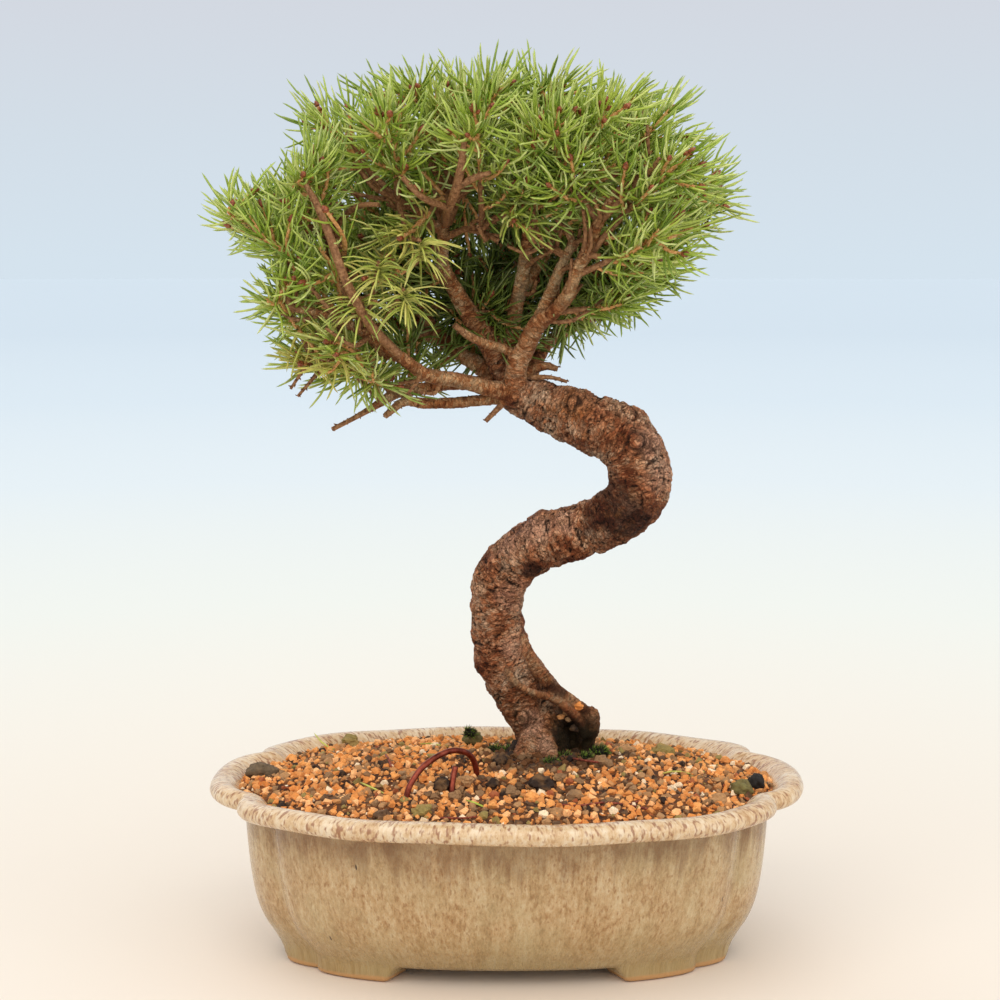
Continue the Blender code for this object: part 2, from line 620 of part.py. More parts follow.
def cut_back(path, length):
    """Splits a path at a length from its end: (the part before, the part after)."""
    left = length
    for k in range(len(path) - 1, 0, -1):
        step = (path[k] - path[k - 1]).length
        if step >= left:
            split = path[k].lerp(path[k - 1], left / step)
            return [*path[:k], split], [split, *path[k:]]
        left -= step
    return path[:1], path


def resampled(path, pitch):
    """Points along a path about one pitch apart."""
    steps = [(b - a).length for a, b in zip(path, path[1:])]
    total = sum(steps)
    count = max(2, round(total / pitch))
    places, k, gone = [], 0, 0.0
    for i in range(count + 1):
        at = total * i / count
        while k < len(steps) - 1 and gone + steps[k] < at:
            gone += steps[k]
            k += 1
        places.append(path[k].lerp(path[k + 1], min((at - gone) / steps[k], 1)))
    return places


def lateral(stem, share, hand, length, index, attempt):
    """A side shoot that leaves a stem at a share of its length, to one hand, turned by the attempt."""
    k = min(int(share * (len(stem) - 1)), len(stem) - 2)
    root = stem[k].lerp(stem[k + 1], share * (len(stem) - 1) - k)
    ahead = (stem[k + 1] - stem[k]).normalized()
    flat = ahead.cross(Vector((0, 0, 1)))
    flat = flat.normalized() if flat.length > 0.2 else Vector((1, 0, 0))
    roll = Matrix.Rotation(0.9 * (wobble(index, 3) - 0.5) + 0.7 * attempt * hand, 3, ahead)
    side = roll @ flat * hand
    way = ahead * math.cos(LATERAL_ANGLE) + side * math.sin(LATERAL_ANGLE)
    bend = (way + ahead * 0.5).normalized()
    middle = root + way * length * 0.5
    return [root, middle, middle + bend * length * 0.5]


def limb_places(paths):
    """Every place where a twig can leave a limb: (point, radius, name)."""
    places = []
    for name, (path, radii) in paths.items():
        if name in ROOTS or name.endswith(("stub", "dead_twig")):
            continue
        for k in range(2, len(path)):
            places.append((path[k], radii[k], name))
    return places


def plan_sprays():
    """Chooses for each tip a twig that reaches it clear of the others, and its leafy stems."""
    paths = woody_paths()
    room = Room()
    trunk_path, trunk_radii = smooth_path(*in_metres(TRUNK), TRUNK_STEPS)
    room.add(trunk_path, trunk_radii, "trunk")
    for name, (path, radii) in paths.items():
        room.add(path, radii, name)
    places = limb_places(paths)
    wanted = [(Vector(tip) * MM, Vector(way).normalized()) for tip, way in FRONT_SPRAYS] + shell_sprays()
    plans = []
    for index, (tip, way) in enumerate(wanted):
        ideal = tip - way * (LEAFY_LENGTH + 12 * MM)
        ranked = sorted(places, key=lambda place: (place[0] - ideal).length + 0.3 * (place[0] - tip).length)
        best = None
        for point, radius, limb in ranked[:24]:
            path = bowed(point, tip, way, 4)
            twig, leafy = cut_back(path, LEAFY_LENGTH)
            if len(twig) < 2 or (twig[-1] - point).length < 4 * MM:
                continue
            spare = room.spare(leafy, [NEEDLE_RADIUS * 4] * len(leafy))
            outside = [place for place in twig if (place - point).length > radius + 1.5 * MM]
            if len(outside) > 1:
                spare = min(spare, room.spare(outside, [TWIG_RADIUS] * len(outside), (limb,)))
            if best is None or spare > best[0]:
                best = (spare, twig, leafy, limb)
            if spare > 1.2 * MM:
                break
        spare, twig, leafy, limb = best
        if spare < CLEARANCE:
            continue
        name = f"spray_{len(plans) + 1:02d}"
        gap_from = twig[-1] + (leafy[1] - leafy[0]).normalized() * GAP
        leafy = [gap_from, *leafy[1:]]
        room.add(twig, [TWIG_RADIUS] * len(twig), name)
        room.add(leafy, [SHOOT_RADIUS] * len(leafy), f"{name} stem 0")
        stems = [leafy]
        for order, (share, hand, length) in enumerate(LATERALS):
            for attempt in (0, 1, -1, 2, -2, 3):
                side = lateral(leafy, share, hand, length, index + 31 * order, attempt)
                mine = [f"{name} stem {number}" for number in range(len(stems))]
                if room.spare(side, [NEEDLE_RADIUS * 3] * 3, mine) > CLEARANCE:
                    room.add(side, [SHOOT_RADIUS] * 3, f"{name} stem {len(stems)}")
                    stems.append(side)
                    break
        radii = [1.25 * TWIG_RADIUS + (0.9 * TWIG_RADIUS - 1.25 * TWIG_RADIUS) * k / (len(twig) - 1)
                 for k in range(len(twig))]
        plans.append({"name": name, "twig": (twig, radii), "stems": stems, "limb": limb})
    return plans, room


def needle_facets(ring):
    """The three facets of a stem's segment that carry needles: the bare one moves round from segment to segment."""
    return [facet for facet in range(4) if facet != ring % 4]


def grow_tube(bm, base, rings, radii):
    """Carries a stem on from the four corners of its base: (segments of four faces each, end face)."""
    centre = sum((corner.co for corner in base), Vector()) / 4
    along = frames(rings)
    _, tangent, side, up = along[0]
    spoke = base[0].co - centre
    start = math.atan2(spoke.dot(up), spoke.dot(side))
    spoke = base[1].co - centre
    hand = 1 if math.sin(math.atan2(spoke.dot(up), spoke.dot(side)) - start) > 0 else -1
    rows = [base]
    for k in range(1, len(rings)):
        point, _, side, up = along[k]
        row = []
        for i in range(4):
            turn = start + hand * (math.pi / 2 * i + NEEDLE_TWIST * k)
            row.append(bm.verts.new(point + (side * math.cos(turn) + up * math.sin(turn)) * radii[k]))
        rows.append(row)
    segments = []
    for low, high in zip(rows, rows[1:]):
        segments.append([bm.faces.new((low[i], low[(i + 1) % 4], high[(i + 1) % 4], high[i])) for i in range(4)])
    return segments, bm.faces.new(rows[-1])


def facing(faces, way):
    """Which of the faces looks most nearly along a direction."""
    for face in faces:
        face.normal_update()
    middle = sum((face.calc_center_median() for face in faces), Vector()) / len(faces)
    return max(faces, key=lambda face: (face.calc_center_median() - middle).normalized().dot(way))


def make_spray(spray, order, room, collection):
    """A leafy shoot with side shoots drawn out of its facets, and needles drawn out of the others."""
    owner = spray["name"]
    bm = bmesh.new()
    main, sides = spray["stems"][0], spray["stems"][1:]
    rings = resampled(main, NEEDLE_PITCH)
    _, _, side, up = frames(rings)[0]
    base = [bm.verts.new(rings[0] + (side * math.cos(turn) + up * math.sin(turn)) * SHOOT_RADIUS)
            for turn in (0, math.pi / 2, math.pi, 3 * math.pi / 2)]
    bm.faces.new(base)
    radii = list(np.linspace(SHOOT_RADIUS, SHOOT_TIP_RADIUS, len(rings)))
    segments, end = grow_tube(bm, base, rings, radii)
    spines = [(end, rings, len(rings) - 1, 0)]
    taken = set()
    for number, stem in enumerate(sides):
        at = min(range(1, len(segments) - 1), key=lambda k: (rings[k].lerp(rings[k + 1], 0.5) - stem[0]).length)
        face = facing([face for face in segments[at] if face not in taken], (stem[1] - stem[0]).normalized())
        corners = list(face.verts)
        seat = face.calc_center_median()
        bm.faces.remove(face)
        segments[at] = [other for other in segments[at] if other is not face]
        offset = seat - stem[0]
        path = resampled([point + offset * (1 - k / (len(stem) - 1)) for k, point in enumerate(stem)],
                         NEEDLE_PITCH)
        sizes = list(np.linspace(SHOOT_RADIUS, SHOOT_TIP_RADIUS, len(path)))
        grown, end = grow_tube(bm, corners, path, sizes)
        spines.append((end, path, len(path) - 1, number + 1))
        spines += [(grown[k][facet], path, k, number + 1)
                   for k in range(1, len(grown)) for facet in needle_facets(k)]
        taken |= {other for k in (at - 1, at + 1) for other in segments[k]
                  if (other.calc_center_median() - seat).length < JOINT_REACH}
    for k, segment in enumerate(segments):
        for facet in needle_facets(k):
            if facet < len(segment) and segment[facet] not in taken:
                spines.append((segment[facet], rings, k, 0))
    for number, (face, path, k, stem) in enumerate(spines):
        draw_needle(bm, face, path, k, stem, owner, 97 * order + number, room)
    link(owner, mesh_from(bm, owner), collection, LEAF)


def draw_needle(bm, face, path, k, stem, owner, draw, room):
    """Draws a needle out of a facet, as long as the room round it allows."""
    root = face.calc_center_median()
    ahead = (path[min(k + 1, len(path) - 1)] - path[min(k, len(path) - 2)]).normalized()
    if k == len(path) - 1:
        way = ahead
    else:
        out = root - path[k].lerp(path[k + 1], 0.5)
        out = (out - ahead * out.dot(ahead)).normalized()
        lean = NEEDLE_LEAN * (1 - 0.5 * k / len(path))
        way = ahead * math.cos(lean) + out * math.sin(lean)
    jitter = Vector([wobble(draw, 5 + axis) - 0.5 for axis in range(3)]) * 0.24
    way = (way + jitter).normalized()
    for share in NEEDLE_SHARES:
        apex = root + way * NEEDLE_LENGTH * share
        line = [root + way * (1.5 * MM), apex]
        thin = [NEEDLE_RADIUS, NEEDLE_RADIUS * 0.6]
        if room.spare(line, thin, (owner, f"{owner} stem {stem}")) > CLEARANCE:
            tip = bmesh.ops.poke(bm, faces=[face])["verts"][0]
            tip.co = apex
            room.add([root, apex], thin, f"{owner} needles")
            return


def main():
    clear_scene()
    collection = bpy.data.collections.new("spruce_bonsai")
    bpy.context.scene.collection.children.link(collection)
    make_pot(collection)
    make_screens(collection)
    make_wires_and_stones(collection)
    make_soil(collection)
    plans, room = plan_sprays()
    make_tree(plans, collection)
    for order, spray in enumerate(plans):
        make_spray(spray, order, room, collection)
    for obj in collection.objects:
        for polygon in obj.data.polygons:
            polygon.use_smooth = obj.name in ("pot", "tree")
        print(obj.name, len(obj.data.polygons), "faces")
    print(len(plans), "sprays")


main()
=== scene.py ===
# %% [markdown]
# # A small spruce bonsai in a lobed, glazed pot
# A dwarf spruce has been grown as a bonsai: a trunk that swings right and left in an S, a crown of short
# leafy shoots, and a low stoneware pot filled with grit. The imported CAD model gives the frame, in metres,
# with +Z up, the pot standing on z = 0 and the viewer of the tree's front at -Y. This lesson dresses it piece
# by piece. The first step loads that frame. Everything that follows is placed by it, so nothing is fitted
# afterwards.

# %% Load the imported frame
import math

import bmesh
import bpy
import numpy as np
from mathutils import Matrix, Vector, kdtree, noise


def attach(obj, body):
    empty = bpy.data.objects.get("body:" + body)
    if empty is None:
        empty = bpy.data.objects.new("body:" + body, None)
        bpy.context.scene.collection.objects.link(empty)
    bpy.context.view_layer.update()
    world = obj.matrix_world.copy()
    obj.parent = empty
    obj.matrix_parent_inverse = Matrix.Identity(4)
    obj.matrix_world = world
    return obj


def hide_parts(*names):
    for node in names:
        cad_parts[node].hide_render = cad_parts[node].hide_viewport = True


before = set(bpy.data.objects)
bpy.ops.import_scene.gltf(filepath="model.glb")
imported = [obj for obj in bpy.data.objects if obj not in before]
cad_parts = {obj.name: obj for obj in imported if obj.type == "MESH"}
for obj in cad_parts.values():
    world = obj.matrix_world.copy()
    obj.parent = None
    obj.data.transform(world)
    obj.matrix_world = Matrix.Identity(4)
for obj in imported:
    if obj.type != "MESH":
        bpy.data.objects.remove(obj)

MM = 0.001
# Blender's noise vectors start from the clock unless they are given a seed.
NOISE_SEED = 5
noise.seed_set(NOISE_SEED)
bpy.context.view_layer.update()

# %% [markdown]
# Colours are written as the hex codes that a colour picker shows. Blender works in linear light, so one
# function turns a code into linear numbers. A pattern's scale is worked out from a real size: `per(3)` gives
# the scale at which a pattern repeats about every 3 mm.

# %% Colours and scales
def colour(code):
    """A linear RGBA colour from an sRGB hex code such as '#a07050'."""
    parts = [int(code[k:k + 2], 16) / 255 for k in (1, 3, 5)]
    return (*[part / 12.92 if part <= 0.04045 else ((part + 0.055) / 1.055) ** 2.4 for part in parts], 1)


def per(size):
    """The texture scale at which a pattern's detail is about this many mm wide."""
    return 1 / (size * MM)


# %% [markdown]
# Materials and Geometry Nodes trees are both made of nodes. One helper adds a node, sets its properties and
# connects its inputs, given by name or as a list in their order. An input takes a plain value, a hex colour,
# another node (whose first live output is meant) or one of its outputs. Paint and dirt come as coats: where a
# value rises from low to high, a tint covers what lies below, from one share to another. Light and dark grain
# multiplies the colour instead.

# %% One helper for every node
# In this order, because a shader node is called ObjectInfo too, and a function node SeparateColor.
FAMILIES = ("GeometryNode", "ShaderNode", "FunctionNode")


def live(sockets, key=0):
    """A socket by its name or number, passing over those that the node's settings have switched off."""
    usable = [socket for socket in sockets if socket.enabled]
    return usable[key] if isinstance(key, int) else next(socket for socket in usable if socket.name == key)


def connect(tree, node, links):
    for key, value in links.items() if isinstance(links, dict) else enumerate(links):
        socket = live(node.inputs, key)
        if isinstance(value, bpy.types.Node):
            value = live(value.outputs)
        if isinstance(value, bpy.types.NodeSocket):
            tree.links.new(value, socket)
        else:
            socket.default_value = colour(value) if str(value).startswith("#") else value


def add(tree, kind, links=(), stops=(), **settings):
    """Adds a node with its settings, its links and, on a colour ramp, its stops of (place, hex colour).

    The kind is Blender's name without its family, so "Math" stands for "ShaderNodeMath".
    """
    node = tree.nodes.new(next(family + kind for family in FAMILIES if hasattr(bpy.types, family + kind)))
    for title, value in settings.items():
        setattr(node, title, value)
    for index, (place, shade) in enumerate(stops):
        ramp = node.color_ramp.elements
        stop = ramp[index] if index < 2 else ramp.new(place)
        stop.position = place
        stop.color = colour(shade)
    connect(tree, node, links)
    return node


def coats(tree, base, rows):
    """Lays coats over a colour, each as (value, low, high, cover at low, cover at high, tint)."""
    for *spread, tint in rows:
        base = add(tree, "Mix", [add(tree, "MapRange", spread), base, tint], data_type="RGBA")
    return base


def grained(tree, base, *spread):
    """Multiplies a colour by a brightness, given as value, low, high, brightness at low and at high."""
    light = add(tree, "MapRange", spread)
    return add(tree, "Mix", [1.0, base, light], data_type="RGBA", blend_type="MULTIPLY")


def material(name, **surface):
    """A new material: (material, its node tree, its Principled shader, the place on the object)."""
    made = bpy.data.materials.new(name)
    made.use_nodes = True
    tree = made.node_tree
    shader = tree.nodes["Principled BSDF"]
    connect(tree, shader, {title.replace("_", " "): value for title, value in surface.items()})
    return made, tree, shader, add(tree, "TexCoord").outputs["Object"]


# %% [markdown]
# Geometry Nodes make whatever repeats: needles, grains, moss, pegs, buds. A tree is built in script, its
# sizes come in through named inputs, and the result is turned into a plain mesh, because the exported model
# keeps no instances. A modifier's input is set by its socket's identifier, before Blender first evaluates the
# object.

# %% Helpers for Geometry Nodes
def geometry_tree(name, **sockets):
    """A new tree with these inputs beside geometry and finish: (tree, the inputs' sockets, output node)."""
    tree = bpy.data.node_groups.new(name, "GeometryNodeTree")
    tree.interface.new_socket("Geometry", in_out="OUTPUT", socket_type="NodeSocketGeometry")
    for title, kind in {"Geometry": "Geometry", "Finish": "Material", **sockets}.items():
        tree.interface.new_socket(title, in_out="INPUT", socket_type="NodeSocket" + kind)
    return tree, tree.nodes.new("NodeGroupInput").outputs, tree.nodes.new("NodeGroupOutput")


def toned(tree, shapes, seed):
    """Gives each instance a random number from 0 to 1, `tone`, by which its material picks a colour."""
    return add(tree, "StoreNamedAttribute", {
        "Geometry": shapes, "Name": "tone", "Value": add(tree, "RandomValue", {"Seed": seed})},
        data_type="FLOAT", domain="INSTANCE")


def end_tree(tree, given, result, *parts):
    """Joins a tree's parts, makes every instance real and sets the finish."""
    joined = add(tree, "JoinGeometry")
    for part in parts:
        tree.links.new(live(part.outputs) if isinstance(part, bpy.types.Node) else part, joined.inputs[0])
    real = add(tree, "RealizeInstances", [joined])
    connect(tree, result, [add(tree, "SetMaterial", {"Geometry": real, "Material": given["Finish"]})])


def mesh_of(obj):
    """What an object's modifiers or bevel make of it, as a new mesh."""
    bpy.context.view_layer.update()
    graph = bpy.context.evaluated_depsgraph_get()
    done = obj.evaluated_get(graph)
    return bpy.data.meshes.new_from_object(done, preserve_all_data_layers=True, depsgraph=graph)


def plain(obj):
    """Replaces an object's mesh by what its modifiers make of it, and removes them."""
    made = mesh_of(obj)
    obj.modifiers.clear()
    obj.data = made
    return obj


def grown(obj, tree, **values):
    """Runs a Geometry Nodes tree on an object, with its inputs set by name, and keeps the mesh."""
    modifier = obj.modifiers.new(tree.name, "NODES")
    modifier.node_group = tree
    for item in tree.interface.items_tree:
        if item.name in values:
            modifier[item.identifier] = values[item.name]
    return plain(obj)


# %% [markdown]
# A finished piece is one object with one mesh, at the origin, in metres. What a material has to know about a
# point, such as how thick the wood is there, is stored with the mesh as an attribute. Handing a piece over
# hangs it on the frame and hides the CAD nodes that it stands for.

# %% Helpers for finished pieces
WELD = 0.001 * MM


def in_scene(name, data):
    obj = bpy.data.objects.new(name, data)
    bpy.context.scene.collection.objects.link(obj)
    return obj


def store(obj, title, values):
    """Keeps one number or one vector for each point of a mesh."""
    values = np.array(values, np.float32)
    kind, field = ("FLOAT_VECTOR", "vector") if values.ndim == 2 else ("FLOAT", "value")
    obj.data.attributes.new(title, kind, "POINT").data.foreach_set(field, values.ravel())


def mesh_object(name, points, faces=(), edges=(), finish=None, smooth=False, **attributes):
    """An object from points in metres. Each attribute is a list of one number or vector a point."""
    mesh = bpy.data.meshes.new(name)
    mesh.from_pydata([tuple(point) for point in points], edges, faces)
    if finish:
        mesh.materials.append(finish)
    mesh.shade_smooth() if smooth else mesh.shade_flat()
    obj = in_scene(name, mesh)
    for title, values in attributes.items():
        store(obj, title, values)
    return obj


def mesh_from(name, bm):
    """Turns a bmesh into a mesh, and frees it."""
    mesh = bpy.data.meshes.new(name)
    bm.to_mesh(mesh)
    bm.free()
    return mesh


def hand_over(obj, slot, *nodes):
    """Hangs a finished piece on the frame's one body, hides the CAD nodes that it stands for, and prints its
    slot.
    """
    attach(obj, "root")
    if nodes:
        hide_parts(*nodes)
    triangles = sum(len(polygon.vertices) - 2 for polygon in obj.data.polygons)
    print(f"{obj.name}: {triangles} triangles, {slot}")


def wobble(index, draw):
    """A fixed pseudo-random number from 0 to 1 for a piece's index and the number of the draw."""
    value = math.sin(index * 12.9898 + draw * 78.233) * 43758.5453
    return value - math.floor(value)


def search_tree(points):
    """Finds the nearest of some points fast."""
    found = kdtree.KDTree(len(points))
    for index, point in enumerate(points):
        found.insert(point, index)
    found.balance()
    return found


# %% [markdown]
# The camera stands where the photographer's did: level with the crown's middle, a little to the left, and
# tipped down by about 7 degrees. It comes first, so that every later step can be looked at.

# %% Camera
lens = bpy.data.cameras.new("photo_camera")
lens.lens = 72
lens.sensor_width = 36
lens.clip_start = 0.01
lens.clip_end = 60
camera = in_scene("photo_camera", lens)
camera.location = (-0.0022, -0.662, 0.233)
camera.rotation_euler = (math.radians(90 - 6.76), 0, 0)
bpy.context.scene.camera = camera

# %% [markdown]
# The floor is pale studio paper. Its colour goes from cream at the pot to a cool pale blue far away, as the
# light does on a long sweep of paper. A wide sun lamp from the front left is the soft key light, a second one
# from the right fills, and the sky lights the rest: bright behind the tree, dimmer overhead, so that the bark
# and the glaze keep their shadows. Sun lamps light near and far alike, so the floor stays even. The view
# transform is the standard one, which shows a colour code as a swatch does.

# %% Floor, sky and light
FLOOR_RADIUS = 30
FLOOR_CORNERS = 128
FLOOR_DROP = 0.2 * MM
FADES_OVER = 6.0

paper, tree, shader, place = material("studio_paper", Roughness=0.9, Specular_IOR_Level=0.0)
distance = add(tree, "VectorMath", [place], operation="LENGTH").outputs["Value"]
far = add(tree, "Math", [distance, FADES_OVER], operation="DIVIDE")
connect(tree, shader, [add(tree, "ValToRGB", [far], stops=[
    (0.0, "#f2e6d9"), (0.05, "#e9e4db"), (0.12, "#e0e5e2"), (0.25, "#d5e0e7"), (0.46, "#ccdae5"),
    (1.0, "#c5d4e1")])])
turns = [math.tau * k / FLOOR_CORNERS for k in range(FLOOR_CORNERS)]
rim = [(FLOOR_RADIUS * math.cos(turn), FLOOR_RADIUS * math.sin(turn), -FLOOR_DROP) for turn in turns]
mesh_object("studio_floor", rim, [list(range(FLOOR_CORNERS))], finish=paper)

sky = bpy.data.worlds.new("studio_sky")
sky.use_nodes = True
tree = sky.node_tree
height = add(tree, "SeparateXYZ", [add(tree, "TexCoord").outputs["Generated"]]).outputs["Z"]
shade = add(tree, "ValToRGB", [height], stops=[
    (0.0, "#d5e3ee"), (0.06, "#d3dee8"), (0.13, "#d3d8e1"), (0.4, "#e9e9ea"), (1.0, "#ffffff")])
overhead = add(tree, "MapRange", [height, 0.14, 0.4, 1.0, 0.78])
connect(tree, tree.nodes["Background"], [shade, overhead])
bpy.context.scene.world = sky
bpy.context.scene.view_settings.view_transform = "Standard"

# Rows of name, strength, width, tilt from straight down and the way that it comes from (-90 is the front).
SUNS = [("key_light", 1.25, 60, 38, -115, "#fff6ea"), ("fill_light", 0.65, 60, 55, -40, "#fffaf2"),
        ("rim_light", 0.4, 60, 50, 120, "#f4f8ff")]
for name, strength, width, tilt, turn, tint in SUNS:
    lamp = bpy.data.lights.new(name, "SUN")
    lamp.energy = strength
    lamp.angle = math.radians(width)
    lamp.color = colour(tint)[:3]
    in_scene(name, lamp).rotation_euler = (0, math.radians(tilt), math.radians(turn))

# %% [markdown]
# The pot is stoneware: a lobed oval pressed in a mould, with a rolled lip and four corner feet. Seen from
# above its outline is a squarish oval with four notches, and every level up the wall is that outline at
# another size. So it can be lofted: rings of points at each height, joined by faces. The CAD pot has few
# rings. Here the same levels are joined by a smooth curve, which gives the rounded lip and soft grooves that
# clay has.

# %% The pot's outline
POT_HALF_LENGTH = 100 * MM
POT_HALF_DEPTH = 69.5 * MM
OVAL_POWER = 2.25
NOTCH_ANGLE = 23
NOTCH_WIDTH = 5
NOTCH_SOFTNESS = 1.1
# Each level is (inset from the rim's edge along X, the same along Y, height, notch as a share of the outline,
# notch angle in degrees), with lengths in mm.
FOOT_LEVEL = (23, 32.5, 0.5, 0.055, 32)
WALL_LEVELS = [
    (22.9, 32.3, 1.2, 0.055, 32), (22.2, 31.2, 5.8, 0.055, 32), (20.4, 28.4, 9.5, 0.05, 31.5),
    (17.4, 24.4, 14.5, 0.045, 31), (14.8, 20.4, 22, 0.04, 30), (13.1, 16.8, 33, 0.04, 29),
    (12.1, 13.8, 45, 0.04, 28), (11.6, 12.2, 53.4, 0.045, 27), (9.4, 9.6, 54.7, 0.055, 25),
    (5.2, 5.2, 55.2, 0.06, 24), (1.6, 1.6, 56.0, 0.065, 23), (0, 0, 58.3, 0.065, 23),
    (0.9, 0.9, 60.8, 0.065, 23), (3.4, 3.4, 61.9, 0.06, 23.5), (6.8, 6.8, 61.3, 0.055, 24.5),
    (10.8, 10.8, 57.4, 0.05, 26), (18, 19, 47, 0.04, 28), (22, 27, 26, 0.04, 30), (29, 37, 13, 0.04, 31)]
LEVEL_STEPS = 4
FLOOR_Z = 13 * MM
FOOT_HEIGHT = 5.6 * MM
FOOT_WIDTH = 11
FRONT_FEET_FROM = 40 * MM
END_FEET_FROM = 13 * MM
FOOT_RAMP = 4.5 * MM
LIP_FROM = 54.2


def plan(degrees, level):
    """A point of the lobed outline, seen from above. Its notch sits at the level's own angle."""
    inset_x, inset_y, _, notch, notch_at = level
    folded = min(degrees % 180, -degrees % 180)
    if folded < NOTCH_ANGLE:
        moved = folded * notch_at / NOTCH_ANGLE
    else:
        moved = 90 - (90 - folded) * (90 - notch_at) / (90 - NOTCH_ANGLE)
    off = math.hypot(folded - NOTCH_ANGLE, NOTCH_SOFTNESS) - NOTCH_SOFTNESS
    dip = 1 - notch * math.exp(-off / NOTCH_WIDTH)
    across, deep = [max(share, 0) ** (2 / OVAL_POWER) * dip
                    for share in (math.cos(math.radians(moved)), math.sin(math.radians(moved)))]
    return (math.copysign(POT_HALF_LENGTH - inset_x * MM, math.cos(math.radians(degrees))) * across,
            math.copysign(POT_HALF_DEPTH - inset_y * MM, math.sin(math.radians(degrees))) * deep)


def smooth_rows(rows, steps):
    """A Catmull-Rom curve through rows of numbers."""
    rows = [np.array(row, float) for row in rows]
    ends = [2 * rows[0] - rows[1], *rows, 2 * rows[-1] - rows[-2]]
    found = []
    for a, b, c, d in zip(ends, ends[1:], ends[2:], ends[3:]):
        for t in np.arange(steps) / steps:
            found.append(0.5 * (2 * b + (c - a) * t + (2 * a - 5 * b + 4 * c - d) * t ** 2
                                + (3 * b - a - 3 * c + d) * t ** 3))
    return [*found, rows[-1]]


def soft(value, low, high):
    """0 below low, 1 above high, and a soft S between."""
    share = min(max((value - low) / (high - low), 0), 1)
    return share * share * (3 - 2 * share)


def foot_z(degrees):
    """The lower edge of the foot ring: down at the four corners, raised in a soft S between them."""
    x, y = plan(degrees, FOOT_LEVEL)
    at_front = min(degrees % 180, -degrees % 180) > NOTCH_ANGLE
    inside = FRONT_FEET_FROM - abs(x) if at_front else END_FEET_FROM - abs(y)
    return FOOT_HEIGHT * 0.9 * soft(inside, 0, FOOT_RAMP)


def pot_ring(level, inward=0.0, at_foot=False):
    """The points of the outline at one level. Above the wall the clay waves a little, as a hand leaves it."""
    inset_x, inset_y, z, notch, notch_at = level
    ring = []
    for degrees in POT_ANGLES:
        turn = math.radians(degrees)
        lift = 0.3 * math.sin(3 * turn + 1) + 0.26 * math.sin(11 * turn + 2) if z > LIP_FROM else 0
        x, y = plan(degrees, (inset_x + inward, inset_y + inward, z, notch, notch_at))
        ring.append((x, y, z * MM + lift * MM + (foot_z(degrees) if at_foot else 0)))
    return ring


quadrant = [*np.linspace(0, 19, 15)[:-1], *np.linspace(19, 27, 13)[:-1], *np.linspace(27, 90, 48)]
POT_ANGLES = sorted({round(angle, 4) % 360 for turn in quadrant
                     for angle in (turn, 180 - turn, 180 + turn, -turn)})
print("points round the pot:", len(POT_ANGLES))

# %% [markdown]
# Glaze runs down a wall and out over a lip, so its streaks and specks follow the pot's own surface. Each
# point gets a vector, `flow`: two numbers that go round the pot as on a drum, and a third that counts
# millimetres along the wall's profile. A pattern that is stretched along the third number runs down the wall.

# %% Loft the pot and cut the drain holes
DRUM = 85 * MM
DRAIN_X = 38 * MM
DRAIN_RADIUS = 7 * MM
DRAIN_SIDES = 48
SHARP_ANGLE = math.radians(50)


def pot_rings():
    """The rings from below the floor over the sole of the foot, up the wall, over the lip and down inside."""
    inset_x, inset_y, _, *notch = FOOT_LEVEL
    under = (inset_x + FOOT_WIDTH + 1, inset_y + FOOT_WIDTH + 1, FOOT_HEIGHT / MM, *notch)
    sole = (inset_x, inset_y, 0, *notch)
    rings = [pot_ring(under), pot_ring(sole, inward=FOOT_WIDTH, at_foot=True),
             pot_ring(sole, inward=0.9, at_foot=True), pot_ring(FOOT_LEVEL, at_foot=True)]
    rings += [pot_ring(tuple(level)) for level in smooth_rows(WALL_LEVELS, LEVEL_STEPS)]
    # A raised foot edge must not climb over the wall's own lowest rings.
    for below, ring in zip(rings[3:10], rings[4:11]):
        for k, (x, y, z) in enumerate(ring):
            ring[k] = (x, y, max(z, below[k][2] + 0.15 * MM))
    return rings


def make_pot(finish):
    rings = pot_rings()
    middle = rings[len(rings) // 2]
    steps = [math.dist(middle[k], middle[k - 1]) for k in range(len(middle))]
    turns = np.cumsum(steps) / sum(steps) * math.tau
    points, flow, run = [], [], 0.0
    for number, ring in enumerate(rings):
        run += math.dist(ring[0], rings[number - 1][0]) if number else 0
        points += ring
        flow += [(DRUM * math.cos(turn), DRUM * math.sin(turn), run) for turn in turns]
    across = len(POT_ANGLES)
    faces = [(k + i, k + (i + 1) % across, k + across + (i + 1) % across, k + across + i)
             for k in range(0, len(points) - across, across) for i in range(across)]
    faces += [tuple(reversed(range(across))), tuple(range(len(points) - across, len(points)))]
    pot = mesh_object("pot_glazed", points, faces, finish=finish)
    for x in (-DRAIN_X, DRAIN_X):
        bpy.ops.mesh.primitive_cylinder_add(
            vertices=DRAIN_SIDES, radius=DRAIN_RADIUS, depth=4 * FLOOR_Z, location=(x, 0, 0))
        cutter = bpy.context.object
        cut = pot.modifiers.new("drain_hole", "BOOLEAN")
        cut.object = cutter
        cut.operation = "DIFFERENCE"
        cut.solver = "EXACT"
        plain(pot)
        bpy.data.objects.remove(cutter)
    # A Boolean keeps no vectors, so each point takes the flow of the nearest point of the loft.
    lofted = search_tree(points)
    store(pot, "flow", [flow[lofted.find(vertex.co)[1]] for vertex in pot.data.vertices])
    pot.data.shade_smooth()
    pot.data.set_sharp_from_angle(angle=SHARP_ANGLE)
    return pot


# %% [markdown]
# The glaze is an ash-coloured stoneware glaze, fired thick enough to run. Where it is thin, at the lip's edge
# and in the streaks, the iron in the clay comes through as rust-brown specks. Under the lip it pooled brown,
# in short drips. The wall is a mottled beige with fine upright streaks, a little greener near the feet. The
# feet were wiped clean before firing, so their undersides show bare tan clay. Fired glaze is glassy: IOR near
# 1.5 and a low roughness, broken by the specks.

